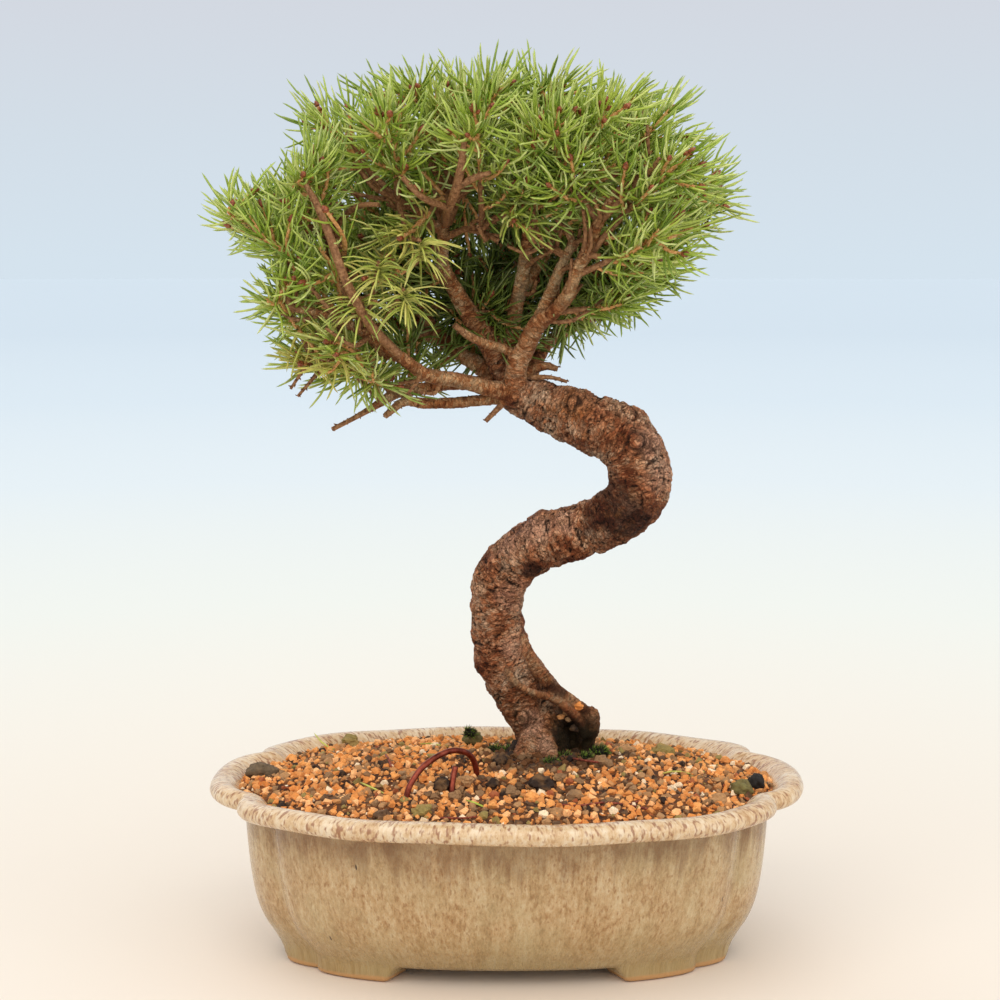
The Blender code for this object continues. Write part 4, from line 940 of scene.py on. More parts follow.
trunk = smooth_path(*in_metres(TRUNK), 6)
root_paths = [smooth_path(*in_metres(rows), 4) for rows in [*ROOTS.values(), *FINE_ROOTS.values()]]
limb_paths = {name: smooth_path(*in_metres(rows), 4) for name, rows in LIMBS.items()}
points, faces = [], []
add_tube(points, faces, *trunk, TRUNK_SIDES, swelling)
for path, radii in root_paths:
    add_tube(points, faces, path, radii, ROOT_SIDES)
for path, radii in limb_paths.values():
    steps = thick_steps(radii) + 1
    if len(path[:steps]) > 2:
        add_tube(points, faces, path[:steps], radii[:steps], LIMB_SIDES)
wood = mesh_object("trunk_and_limbs", points, faces)
skin = wood.modifiers.new("one_skin", "REMESH")
skin.mode = "VOXEL"
skin.voxel_size = SKIN_VOXEL
even = wood.modifiers.new("even", "SMOOTH")
even.factor = 0.5
even.iterations = 4
plain(wood)
print("wood skin:", len(wood.data.vertices), "points")

# %% [markdown]
# Spruce bark comes off in small thin flakes, 1.5 to 3 mm wide, with dark cracks between them, and it is
# creased across wherever the trunk bends. Healed cuts leave a boss with rings. Such marks follow the wood, so
# each point of the skin finds the nearest stretch of the skeleton and gets its place as if that stretch were
# straight: two numbers across and one along. Voronoi noise in those numbers gives the flakes: the second
# nearest cell minus the nearest is zero along a crack. Every point is moved along its normal by that relief,
# so that the outline is flaky too.

# %% The wood, straightened
def along_wood(paths):
    """A search tree of the points of a skeleton, with each point's radius, run, tangent, side and up."""
    rows = []
    for path, radii in paths:
        run = 0.0
        for k, (point, tangent, side, up) in enumerate(frames(path)):
            run += (path[k] - path[k - 1]).length if k else 0.0
            rows.append((point, radii[k], run, tangent, side, up))
    return search_tree([row[0] for row in rows]), rows


def straightened(spot, searches):
    """The girth of the nearest wood and the place on it as if it were straight, both in mm."""
    near = [rows[index] for found, rows in searches for _, index, _ in found.find_n(spot, 4)]
    point, radius, run, tangent, side, up = min(near, key=lambda row: (spot - row[0]).length - row[1])
    off = spot - point
    return radius / MM, Vector((off.dot(side), off.dot(up), run + off.dot(tangent))) / MM


def nearness(place, spots):
    """How near a place is to the nearest of some spots of (x, y, z, reach), from 0 to 1. All in mm."""
    return max(1 - soft((place - Vector(spot[:3])).length, spot[3] * 0.4, spot[3]) for spot in spots)


# %% Bark relief
# Spots of painted shade, dark in the hollows of the bends, and pale spots, partly bleached bark and partly
# painted highlight.
PAINTED_SHADE_WOOD = [
    (10, 9.5, 95, 4), (15, 10, 90, 4), (20, 11, 85, 4), (36, -11, 153, 13), (25, 13, 73, 12), (27, 10, 81, 5),
    (17, 6, 89, 6), (32, -10, 157, 9), (27, -9, 149, 8), (41, -12, 150, 9), (-1, -4, 134, 4),
    (8, -5, 132, 4.5), (20, 6, 74, 9), (23, 10, 66, 9), (2, 12, 66, 7), (40, 0, 187, 6), (17, 2, 95, 6)]
BLEACHED_AND_HIGHLIT_WOOD = [
    (-3, -8, 141, 11), (9, -8, 146, 9), (20, -10, 149, 7), (50, -12, 164, 9), (47, -13, 174, 8),
    (3, -3, 122, 10), (24, -8, 187, 6), (8, 3, 78, 7), (13, 3, 70, 6), (3, -2, 104, 8)]
# Healed cuts, with rings round a boss.
WRINKLED = [(39.5, -10, 184, 6.5), (42, -15, 175.6, 6), (22, -9, 187, 5.5), (5, 4, 79, 5)]
RING_WIDTH = 1.9


def bark_relief(place, flat, girth):
    """How far a point of the bark stands out, in mm, and how deep in a crack it lies, from 0 to 1."""
    thick = soft(girth, 2.2, 6.0)
    warp = noise.noise_vector(place * 0.3) * 1.5
    spot = flat + warp
    reach, seats = noise.voronoi(Vector((spot.x * 0.4, spot.y * 0.4, spot.z * 0.62)))
    flake = soft(reach[1] - reach[0], 0.02, 0.3)
    stands = 0.5 + 0.5 * noise.noise(seats[0] * 5.3)
    crease = abs(noise.noise(Vector((flat.x * 0.09, flat.y * 0.09, flat.z * 0.5)) + warp * 0.25))
    crease = 1 - soft(crease, 0.0, 0.09)
    fine = noise.fractal(place * 1.1, 0.6, 2.1, 3)
    on_trunk = 0.3 * flake * (0.3 + stands) - 0.5 * crease + 0.16 * fine + 0.7 * noise.noise(place * 0.23)
    on_limb = 0.2 * fine + 0.22 * noise.noise(Vector((flat.x, flat.y, flat.z * 0.8)) * 0.9) + 0.08 * flake
    crack = max(0.45 * (1 - flake), crease)
    return thick * on_trunk + (1 - thick) * on_limb - 0.15 * thick, crack * (0.35 + 0.65 * thick)


searches = [along_wood([trunk]), along_wood([*limb_paths.values(), *root_paths])]
girths, cracks, weather_and_light, grains, moved = [], [], [], [], []
for vertex in wood.data.vertices:
    place = vertex.co / MM
    girth, flat = straightened(vertex.co, searches)
    raised, crack = bark_relief(place, flat, girth)
    for x, y, z, reach in WRINKLED:
        off = (place - Vector((x, y, z))).length
        rings = math.exp(-(off / reach) ** 2)
        wave = math.cos(math.tau * (off + 0.7 * noise.noise(place * 0.4)) / RING_WIDTH)
        raised += 0.42 * rings * wave + 1.0 * math.exp(-(off / 1.7) ** 2)
        crack = max(crack * (1 - 0.6 * rings), rings * soft(-wave, 0.1, 0.9))
    moved.append(vertex.co + vertex.normal * raised * MM)
    girths.append(girth)
    cracks.append(crack)
    # Painted light and shade: the pale and dark spots, and a lighter top and darker underside by the height
    # of the normal.
    weather_and_light.append(nearness(place, BLEACHED_AND_HIGHLIT_WOOD) - nearness(place, PAINTED_SHADE_WOOD) + 0.5 * vertex.normal.z)
    grains.append(flat * MM)
wood.data.vertices.foreach_set("co", np.array(moved, np.float32).ravel())
for title, values in (("girth", girths), ("crack", cracks), ("weather_and_light", weather_and_light), ("grain", grains)):
    store(wood, title, values)
wood.data.update()
print("girths from", round(min(girths), 1), "to", round(max(girths), 1), "mm")

# %% [markdown]
# The bark's colours: flakes of red-brown to tan, each a little different, with nearly black outlines. The
# sides and tops that face the light are painted a pinkish grey, partly bleached bark and partly painted
# highlight, and the undersides and the hollows of the bends are painted dark red as shade. A burl below the
# crown is orange, and green algae grow near the soil. Thinner limbs are smoother and more tan.
# The pattern is laid in the straightened coordinates, `grain`, and squeezed along the wood, so the flakes are
# wider than tall. Dead bark is matt, so the roughness stays high.

# %% Spruce bark
bark, tree, shader, place = material("spruce_bark", IOR=1.45, Specular_IOR_Level=0.22)
girth, crack, weather_and_light = [add(tree, "Attribute", attribute_name=title).outputs["Fac"]
                         for title in ("girth", "crack", "weather_and_light")]
grain = add(tree, "Attribute", attribute_name="grain").outputs["Vector"]
high = add(tree, "SeparateXYZ", [place]).outputs["Z"]
bend = add(tree, "TexNoise", [place, per(4), 3.0]).outputs["Color"]
bend = add(tree, "VectorMath", {"Vector": bend, "Scale": 2 * MM}, operation="SCALE")
bent_grain = add(tree, "VectorMath", [grain, bend], operation="ADD")
squeezed = add(tree, "Mapping", {"Vector": bent_grain, "Scale": (1, 1, 1.9)})
flakes = add(tree, "TexVoronoi", [squeezed, per(1.6)])
edges = add(tree, "TexVoronoi", [squeezed, per(1.6)], feature="DISTANCE_TO_EDGE")
each = add(tree, "SeparateColor", [flakes.outputs["Color"]])
fibres = add(tree, "TexNoise", [squeezed, per(0.6), 4.0, 0.7])
areas = add(tree, "TexNoise", [place, per(11), 3.0, 0.6])
tone = add(tree, "Math", [each, 0.2, -0.09], operation="MULTIPLY_ADD")
tone = add(tree, "Math", [tone, areas], operation="ADD")
old = add(tree, "ValToRGB", [tone], stops=[
    (0.3, "#7d3f22"), (0.41, "#a9653f"), (0.5, "#c5835a"), (0.62, "#d9a680"), (0.78, "#edc8a6")])
young = add(tree, "ValToRGB", [tone], stops=[
    (0.3, "#7f4523"), (0.42, "#b97546"), (0.54, "#d69e6c"), (0.7, "#eac596")])
# Wavy cracks across the wood, wide where it is old.
drawn = add(tree, "Mapping", {"Vector": bent_grain, "Scale": (1, 1, 3.0)})
waves = add(tree, "Math", [add(tree, "TexNoise", [drawn, per(5), 6.0, 0.62]), 0.5], operation="SUBTRACT")
waves = add(tree, "Math", [waves], operation="ABSOLUTE")
# The thin roots at the foot are dark, red and cracked.
thin = add(tree, "MapRange", [girth, 3.0, 5.0, 0.5, 0.0])
low = add(tree, "MapRange", [high, 0.1, 0.112, 1.0, 0.0])
rooty = add(tree, "Math", [thin, low], operation="MULTIPLY")
cracked = add(tree, "MapRange", [girth, 1.5, 5.5, 0.2, 0.78])
cracked = add(tree, "Math", [rooty, 1.1, cracked], operation="MULTIPLY_ADD")
width = add(tree, "MapRange", [girth, 1.5, 6.0, 0.025, 0.075])
outline = add(tree, "Math", [edges, width], operation="DIVIDE")
ochre = add(tree, "TexNoise", [place, per(6), 2.0])
patches = add(tree, "TexNoise", [bent_grain, per(4.2), 6.0, 0.72])
# The second spot is the hollow between the trunk's foot and the root, painted near black as shade.
burl, root_hollow_shade, knob = [add(tree, "VectorMath", [place, spot], operation="DISTANCE").outputs["Value"]
                      for spot in ((0.023, -0.009, 0.187), (0.0235, 0.008, 0.071), (0.03, 0.008, 0.079))]
# Painted light and shade in these coats: the pinkish grey on lit sides and tops is partly painted highlight,
# and the dark red on undersides and in the bends is painted shade.
skin = coats(tree, young, [
    (girth, 2.2, 5.0, 0.0, 1.0, old), (rooty, 0.0, 1.0, 0.0, 1.0, "#7a3f28"),
    (knob, 0.0015, 0.004, 0.5, 0.0, "#b98a68"), (weather_and_light, 0.15, 1.3, 0.0, 0.68, "#dfab8d"),
    (weather_and_light, 0.05, -1.0, 0.0, 0.9, "#38130a"), (ochre, 0.57, 0.72, 0.0, 0.3, "#a26a34"),
    (burl, 0.0045, 0.0072, 0.6, 0.0, "#b06a34"), (patches, 0.36, 0.46, 0.38, 0.0, "#532512"),
    (waves, 0.003, 0.02, cracked, 0.0, "#1f0e07"), (outline, 0.2, 1.0, 0.5, 0.0, "#25130b"),
    (crack, 0.18, 0.85, 0.0, 0.93, "#1c0d07"), (root_hollow_shade, 0.005, 0.0095, 0.86, 0.0, "#1a0c06")])
# Uneven rings round the healed cuts. The noise of `bend` moves a place by about 1 mm each way.
near_place = add(tree, "VectorMath", [place, bend], operation="ADD")
for x, y, z, reach in WRINKLED:
    centre = Vector((x + 1, y + 1, z + 1)) * MM
    away = add(tree, "VectorMath", [near_place, centre], operation="DISTANCE").outputs["Value"]
    wave = add(tree, "Math", [away, math.tau / (2.2 * MM)], operation="MULTIPLY")
    wave = add(tree, "Math", [wave], operation="COSINE")
    cover = add(tree, "MapRange", [away, 1.5 * MM, reach * MM, 0.8, 0.0])
    # Dark rings in the wrinkles, and a pale middle on each boss, painted as a highlight.
    skin = coats(tree, skin, [(wave, -0.2, -0.9, 0.0, cover, "#220f08"),
                              (away, 0.9 * MM, 1.9 * MM, 0.55, 0.0, "#cd9a74")])
skin = grained(tree, skin, fibres, 0.3, 0.7, 0.7, 1.4)
algae = add(tree, "Math", [add(tree, "MapRange", [high, 0.066, 0.1, 0.42, 0.0]), areas], operation="MULTIPLY")
skin = coats(tree, skin, [(algae, 0.0, 1.0, 0.0, 1.0, "#43441c")])
lifted = add(tree, "Math", [add(tree, "MapRange", [edges, 0.0, 0.14, 0.0, 0.6]), fibres], operation="ADD")
lifted = add(tree, "Math", [add(tree, "MapRange", [waves, 0.0, 0.04, 0.0, 0.7]), lifted], operation="ADD")
connect(tree, shader, {
    "Base Color": skin, "Roughness": add(tree, "MapRange", [fibres, 0.3, 0.7, 0.8, 0.48]),
    "Normal": add(tree, "Bump", {"Height": lifted, "Strength": 0.9, "Distance": 0.5 * MM})})

wood.data.materials.clear()
wood.data.materials.append(bark)
wood.data.shade_smooth()
hand_over(wood, "bark", "tree")

# %% [markdown]
# The crown is made of sprays: a twig that leaves a limb, a leafy shoot at its end, and side shoots that leave
# that shoot to the left and right. The CAD places 46 of them, with their tips spread over a dome that is open
# at the front, where limbs show. The same rule, with the same numbers, is worked out again here, so that
# every finer shoot grows where the CAD has one.

# %% Where the sprays go
# The crown: the outline of the leafy stems' tips seen from the front, as (x, z) in mm, and its depth.
CROWN_CENTRE = (-11, 3, 247)
CROWN_OUTLINE = [
    (-91, 247), (-83, 258), (-76, 270), (-67, 280), (-53, 288), (-40, 292), (-22, 295), (-2, 298), (17, 297),
    (34, 294), (50, 292), (60, 278), (68, 262), (74, 245), (70, 230), (58, 222), (44, 214), (30, 208),
    (14, 206), (-4, 204), (-24, 198), (-46, 193), (-62, 192), (-74, 198), (-83, 212), (-89, 230)]
CROWN_HALF_DEPTH = 60
SHELL_SPRAYS = 42
GOLDEN_ANGLE = math.pi * (3 - math.sqrt(5))
# The open front, where limbs show: no spray of the shell lies in this window, in mm.
WINDOW_X = (-38, 46)
WINDOW_Z = (190, 268)
WINDOW_Y = -4
# Sprays that hang in and around that window, as the tip (x, y, z) in mm and the way each points.
FRONT_SPRAYS = [
    ((-90, -34, 248), (-0.8, -0.1, 0.55)), ((-82, -36, 224), (-0.9, -0.3, 0.15)), ((-33, -34, 236),
    (-0.2, -0.6, -0.45)), ((-44, -34, 222), (-0.4, -0.7, -0.3)), ((-28, -38, 252), (-0.3, -0.8, 0.1)),
    ((10, -34, 272), (0.0, -0.4, 0.9)), ((2, -34, 243), (0.1, -0.7, -0.5)), ((56, -40, 262),
    (0.7, -0.5, 0.3)), ((-66, -38, 262), (-0.5, -0.5, 0.6)), ((-70, -16, 196), (-0.7, -0.3, -0.4)),
    ((30, -40, 280), (0.2, -0.6, 0.75)), ((-10, -46, 278), (-0.1, -0.7, 0.65)), ((-58, -38, 232),
    (-0.5, -0.8, 0.2)), ((-56, -34, 203), (-0.5, -0.7, -0.4))]
TRUNK_STEPS = 2
TWIG_RADIUS = 0.85 * MM
SHOOT_RADIUS = 0.7 * MM
LEAFY_LENGTH = 24 * MM
LATERALS = [(0.55, 1, 12 * MM), (0.25, -1, 13.5 * MM)]
LATERAL_ANGLE = math.radians(52)
NEEDLE_RADIUS = 0.45 * MM
CLEARANCE = 0.4 * MM
WIDE_CLEARANCE = 1.2 * MM
GAP = 0.35 * MM
LIMBS_TRIED = 24
TWIG_WANTED = 12 * MM
SHORTEST_TWIG = 4 * MM
AT_LIMB = 1.5 * MM
# A shell spray points away from the crown's centre, with this many mm added upwards.
UPWARD = 26
DEPTH_STRETCH = 1.2
# A twig's bend lies this share of its length before its end.
BOW = 0.45
# Side shoots are rolled round their stem at random, and by a step with each attempt, in radians.
ROLL_SPREAD = 0.9
ROLL_STEP = 0.7


def shell_sprays():
    """Tips spread evenly over the crown's shell, and the way each points, leaving the open front free."""
    centre = Vector(CROWN_CENTRE)
    polar = sorted((math.atan2(z - centre.z, x - centre.x), math.hypot(x - centre.x, z - centre.z))
                   for x, z in CROWN_OUTLINE)
    found = []
    for i in range(SHELL_SPRAYS):
        deep = 1 - 2 * (i + 0.5) / SHELL_SPRAYS
        turn = (i * GOLDEN_ANGLE + math.pi) % (2 * math.pi) - math.pi
        reach = float(np.interp(turn, *zip(*polar), period=2 * math.pi)) * math.sqrt(1 - deep ** 2)
        offset = Vector((reach * math.cos(turn), CROWN_HALF_DEPTH * deep, reach * math.sin(turn)))
        tip = centre + offset
        in_window = WINDOW_X[0] < tip.x < WINDOW_X[1] and WINDOW_Z[0] < tip.z < WINDOW_Z[1]
        if not (tip.y < WINDOW_Y and in_window):
            way = Vector((offset.x, offset.y * DEPTH_STRETCH, offset.z + UPWARD)).normalized()
            found.append((tip * MM, way))
    return found


def segment_gap(a, b, starts, ends):
    """The shortest distance from segment a-b to each of the segments starts-ends."""
    u, v = b - a, ends - starts
    w = a - starts
    uu, uv, vv = u @ u, v @ u, (v * v).sum(1)
    uw, vw = w @ u, (v * w).sum(1)
    slant = np.maximum(uu * vv - uv ** 2, 1e-18)
    s = np.clip((uv * vw - vv * uw) / slant, 0, 1)
    t = np.clip((uv * s + vw) / np.maximum(vv, 1e-18), 0, 1)
    s = np.clip((uv * t - uw) / max(uu, 1e-18), 0, 1)
    between = w + s[:, None] * u - t[:, None] * v
    return np.sqrt((between ** 2).sum(1))


def bars(path, radii, owner):
    """A path as round bars, each as (start, end, radius, owner)."""
    return [(tuple(path[k]), tuple(path[k + 1]), max(radii[k], radii[k + 1]), owner)
            for k in range(len(path) - 1)]


def clear_of(placed, path, radius, ignore=""):
    """The least clear distance between a path and the bars already placed, passing over one owner's."""
    starts, ends, sizes = [np.array(rows) for rows in zip(*[bar[:3] for bar in placed if bar[3] != ignore])]
    gaps = [segment_gap(np.array(a), np.array(b), starts, ends) - sizes for a, b in zip(path, path[1:])]
    return min(1.0, *[float(gap.min()) - radius for gap in gaps])


def bowed(start, finish, way):
    """A stem of four steps from start that arrives at finish pointing along way."""
    hold = finish - way * (finish - start).length * BOW
    return [start * (1 - t) ** 2 + hold * 2 * t * (1 - t) + finish * t ** 2 for t in (0, 0.25, 0.5, 0.75, 1)]


def cut_back(path, length):
    """Splits a path at a length from its end: (the part before, the part after)."""
    left = length
    for k in range(len(path) - 1, 0, -1):
        step = (path[k] - path[k - 1]).length
        if step >= left:
            split = path[k].lerp(path[k - 1], left / step)
            return [*path[:k], split], [split, *path[k:]]
        left -= step
    return path[:1], path


def lateral(stem, share, hand, length, index, attempt):
    """A side shoot that leaves a stem at a share of its length, to one hand, turned by the attempt."""
    k = min(int(share * (len(stem) - 1)), len(stem) - 2)
    root = stem[k].lerp(stem[k + 1], share * (len(stem) - 1) - k)
    ahead = (stem[k + 1] - stem[k]).normalized()
    flat = ahead.cross(Vector((0, 0, 1)))
    flat = flat.normalized() if flat.length > 0.2 else Vector((1, 0, 0))
    roll = Matrix.Rotation(ROLL_SPREAD * (wobble(index, 3) - 0.5) + ROLL_STEP * attempt * hand, 3, ahead)
    way = ahead * math.cos(LATERAL_ANGLE) + roll @ flat * hand * math.sin(LATERAL_ANGLE)
    middle = root + way * length * 0.5
    return [root, middle, middle + (way + ahead * 0.5).normalized() * length * 0.5]


def limb_places():
    """Every place where a twig can leave a limb: (point, radius, name)."""
    return [(Vector(row[:3]) * MM, row[3] * MM, name) for name, rows in LIMBS.items()
            if not name.endswith(("stub", "dead_twig")) for row in rows[2:]]


def plan_sprays():
    """Chooses for each tip a twig that reaches it clear of the others, and its leafy stems."""
    placed = bars(*smooth_path(*in_metres(TRUNK), TRUNK_STEPS), "trunk")
    for name, rows in {**ROOTS, **LIMBS}.items():
        placed += bars(*in_metres(rows), name)
    wanted = [(Vector(tip) * MM, Vector(way).normalized()) for tip, way in FRONT_SPRAYS] + shell_sprays()
    plans = []
    for index, (tip, way) in enumerate(wanted):
        ideal = tip - way * (LEAFY_LENGTH + TWIG_WANTED)
        ranked = sorted(limb_places(),
                        key=lambda spot: (spot[0] - ideal).length + 0.3 * (spot[0] - tip).length)
        best = None
        for point, radius, limb in ranked[:LIMBS_TRIED]:
            twig, leafy = cut_back(bowed(point, tip, way), LEAFY_LENGTH)
            if len(twig) < 2 or (twig[-1] - point).length < SHORTEST_TWIG:
                continue
            spare = clear_of(placed, leafy, NEEDLE_RADIUS * 4)
            outside = [place for place in twig if (place - point).length > radius + AT_LIMB]
            if len(outside) > 1:
                spare = min(spare, clear_of(placed, outside, TWIG_RADIUS, limb))
            if best is None or spare > best[0]:
                best = (spare, twig, leafy)
            if spare > WIDE_CLEARANCE:
                break
        spare, twig, leafy = best
        if spare < CLEARANCE:
            continue
        name = f"spray_{len(plans) + 1:02d}"
        stems = [[twig[-1] + (leafy[1] - leafy[0]).normalized() * GAP, *leafy[1:]]]
        placed += bars(twig, [TWIG_RADIUS] * len(twig), name)
        placed += bars(stems[0], [SHOOT_RADIUS] * len(leafy), name + " stems")
        for order, (share, hand, length) in enumerate(LATERALS):
            for attempt in (0, 1, -1, 2, -2, 3):
                side = lateral(stems[0], share, hand, length, index + 31 * order, attempt)
                if clear_of(placed, side, NEEDLE_RADIUS * 3, name + " stems") > CLEARANCE:
                    placed += bars(side, [SHOOT_RADIUS] * 3, name + " stems")
                    stems.append(side)
                    break
        radii = list(np.linspace(1.25, 0.9, len(twig)) * TWIG_RADIUS)
        plans.append({"name": name, "twig": twig, "radii": radii, "stems": stems})
    return plans


plans = plan_sprays()
print(len(plans), "sprays planned")

# %% [markdown]
# A CAD spray has three leafy stems, all that a light solid allows. The real one has up to ten, all round the
# twig, the longest at the base. Each extra shoot leaves its stem at the same angle as the CAD's own, rolled
# up or down. Inside and behind, more sprays fill the crown, on twigs bowed out from the nearest limb by the
# CAD's rule. Where the photograph shows limbs between the tufts, or a gap in the outline, the tufts carry
# fewer needles.

# %% Where shoots are added, drawn in, thinned and coloured
# Rows of (share along the stem, hand, length in mm, roll).
EXTRA_SHOOTS = [(0.08, 1, 14.5, 1), (0.4, -1, 13, -2), (0.7, 1, 11, 2), (0.85, -1, 7.5, 0)]
TWIG_SHOOTS = [(0.35, -1, 16, 1), (0.6, 1, 16, -1), (0.85, -1, 15, 1)]
# Tips of the sprays inside the crown and at its back, in mm.
INNER_TIPS = [
    (-13, 22, 229), (-3, 24, 218), (7, 26, 236), (-10, 20, 207), (4, 24, 203), (-21, 24, 213), (18, 26, 211),
    (11, 14, 224), (-2, 30, 246), (22, 24, 238), (-29, 20, 224), (-15, 12, 247), (32, 22, 224), (40, 20, 240),
    (52, 16, 236), (48, 10, 226), (62, 8, 250), (34, 12, 254), (-36, 14, 240), (-48, 12, 228), (-40, 16, 204),
    (14, 12, 262), (-6, 16, 262), (26, 36, 216), (30, 34, 250), (-42, 22, 264), (-47, 14, 253),
    (-58, 18, 232), (-20, 22, 252), (-60, 34, 246), (-40, 38, 238)]
INNER_LEAFY = 20 * MM
INNER_REACH = 26 * MM
# Where needles have turned yellow, as (x, y, z, reach) in mm: the shaded tufts at the lower left front.
YELLOW_SPOTS = [
    (-45, -34, 240, 12), (-32, -34, 235, 12), (-32, -34, 223, 13), (-48, -34, 233, 12), (2, -32, 240, 9),
    (-81, -30, 226, 15), (-83, -15, 196, 18), (-60, -25, 200, 16)]
# Where fresh yellow-green tips have opened.
FRESH_SPOTS = [
    (-1, 0, 297, 11), (24, 0, 298, 11), (10, -40, 268, 13), (-78, -10, 270, 12), (-40, -36, 262, 12),
    (-20, -20, 288, 12), (30, -36, 280, 12), (-58, -20, 282, 12)]
# Where limbs show between the tufts, as seen from the front: (x, z, reach) in mm.
OPEN_SPOTS = [
    (-17, 250, 22), (-18.6, 232, 20), (-9, 215, 20), (3.5, 206, 20), (32, 246, 15), (24, 230, 16),
    (16, 215, 16), (-55, 249, 15), (-50, 228, 15), (-44, 211, 14), (-31, 203, 13), (-37, 252, 14),
    (2, 232, 15)]
# Gaps in the crown's outline.
GAPS = [(-80, 263, 11), (-64, 289, 7), (66, 288, 10)]
# How far stems reach: (z, x to the left, x to the right), and at each x, (x, lowest z, highest z). All in mm.
SIDE_REACH = [
    (185, -48, 10), (192, -62, 12), (200, -68, 14), (212, -68, 20), (222, -71, 38), (229, -63, 50),
    (236, -66, 60), (242, -80, 68), (249, -86, 71), (254, -74, 70), (259, -60, 68), (266, -57, 66),
    (273, -66, 65), (282, -62, 58), (300, -50, 50)]
HEIGHT_REACH = [
    (-90, 222, 262), (-75, 206, 272), (-66, 202, 282), (-52, 198, 289), (-42, 195, 288), (-30, 195, 285),
    (-16, 198, 284), (0, 205, 286), (18, 214, 285), (34, 220, 286), (48, 228, 283), (62, 234, 278)]
BEYOND = 0.35


def drawn_in(point):
    """A place in a spray, drawn in a little, as the needles reach past the outline of the stems."""
    x, y, z = point / MM
    heights, lefts, rights = zip(*SIDE_REACH)
    left, right = np.interp(z, heights, lefts), np.interp(z, heights, rights)
    x = left + BEYOND * (x - left) if x < left else right + BEYOND * (x - right) if x > right else x
    places, lows, highs = zip(*HEIGHT_REACH)
    low, high = np.interp(x, places, lows), np.interp(x, places, highs)
    z = low + BEYOND * (z - low) if z < low else high + 1.6 * BEYOND * (z - high) if z > high else z
    return Vector((x, y, z)) * MM


def region(tip):
    """The part of the crown that a tip belongs to. Each part becomes one piece."""
    x, y, z = tip / MM
    if y > 22:
        return "back_left" if x < -12 else "back_right"
    if z > 272:
        return "top"
    if x < -48:
        return "left_high" if z > 228 else "left_low"
    return "right" if x > 34 else "front"


def seen_near(x, z, spots):
    """How near a place seen from the front is to the nearest of some spots of (x, z, reach), from 0 to 1."""
    return max(1 - soft(math.hypot(x - spot_x, z - spot_z), reach * 0.4, reach)
               for spot_x, spot_z, reach in spots)


def bent(path, steps=4):
    return smooth_path(path, [0.0] * len(path), steps)[0]


# %% The leafy shoots of every spray
sprays = list(plans)
for tip in INNER_TIPS:
    tip = Vector(tip) * MM
    way = (tip - Vector((0, 8, 205)) * MM).normalized() + Vector((0, 0, -0.15 if tip.z < 230 * MM else 0.3))
    point = min((place[0] for place in limb_places()),
                key=lambda spot: abs((spot - tip).length - INNER_REACH))
    twig, leafy = cut_back(bowed(point, tip, way.normalized()), INNER_LEAFY)
    radii = list(np.linspace(1.1, 0.8, len(twig)) * TWIG_RADIUS)
    sprays.append({"twig": twig, "radii": radii, "stems": [leafy]})

shoots = []
for index, spray in enumerate(sprays):
    twig = spray["twig"] = [point.lerp(drawn_in(point), k / (len(spray["twig"]) - 1))
                            for k, point in enumerate(spray["twig"])]
    spray["stems"] = [[drawn_in(point) for point in stem] for stem in spray["stems"]]
    stems = list(spray["stems"])
    main = stems[0]
    for order, (share, hand, length, roll) in enumerate(EXTRA_SHOOTS):
        length *= 0.8 + 0.4 * wobble(index, 50 + order)
        stems.append(lateral(main, share, hand, length * MM, index + 17 * order, roll))
    if len(twig) > 2:
        for order, (share, hand, length, roll) in enumerate(TWIG_SHOOTS):
            stems.append(lateral(twig, share, hand, length * MM, index + 23 * order, roll))
    for order, path in enumerate(stems):
        # Shoots turn up towards the light, the low ones most.
        lift = 0.15 * (1 - soft(path[0].z / MM, 240, 272)) / (14 * MM)
        path = [point + Vector((0, 0, lift * (point - path[0]).length ** 2)) for point in bent(path, 3)]
        path = [point.lerp(drawn_in(point), 0.8) for point in path]
        place = path[-1] / MM
        hidden = max(seen_near(place.x, place.z, OPEN_SPOTS) if place.y < -4 else 0,
                     seen_near(place.x, place.z, GAPS))
        if hidden > 0.3 and order > 0:
            continue
        shoots.append({"path": path, "cover": 1 - 0.85 * hidden, "home": region(main[-1]), "main": order == 0,
                       "yellow": nearness(place, YELLOW_SPOTS), "fresh": nearness(place, FRESH_SPOTS)})
lengths = [(a - b).length for shoot in shoots for a, b in zip(shoot["path"], shoot["path"][1:])]
print(len(shoots), "leafy shoots,", round(sum(lengths), 1), "m long")

# %% [markdown]
# The twigs are many thin tubes of one kind, so a tree of nodes makes them from their centre lines: Curve to
# Mesh with a small circle, scaled by the attribute `thick`. Where a needle has dropped it leaves a peg, which
# makes a spruce twig rough to the touch. The same tree sets pegs round each line, each turned by the golden
# angle from the one before, the angle by which most plants place their leaves.

# %% The tree of nodes for twigs
NEXT_LEAF = 2.39996


def centre_lines(name, lines, **attributes):
    """An object of edges, a chain for each line. An attribute has a number for each line, or one a point."""
    edges, start = [], 0
    for line in lines:
        edges += [(start + k, start + k + 1) for k in range(len(line) - 1)]
        start += len(line)
    flat = {title: np.concatenate([np.broadcast_to(row, len(line)) for row, line in zip(rows, lines)])
            for title, rows in attributes.items()}
    return mesh_object(name, [point for line in lines for point in line], edges=edges, **flat)


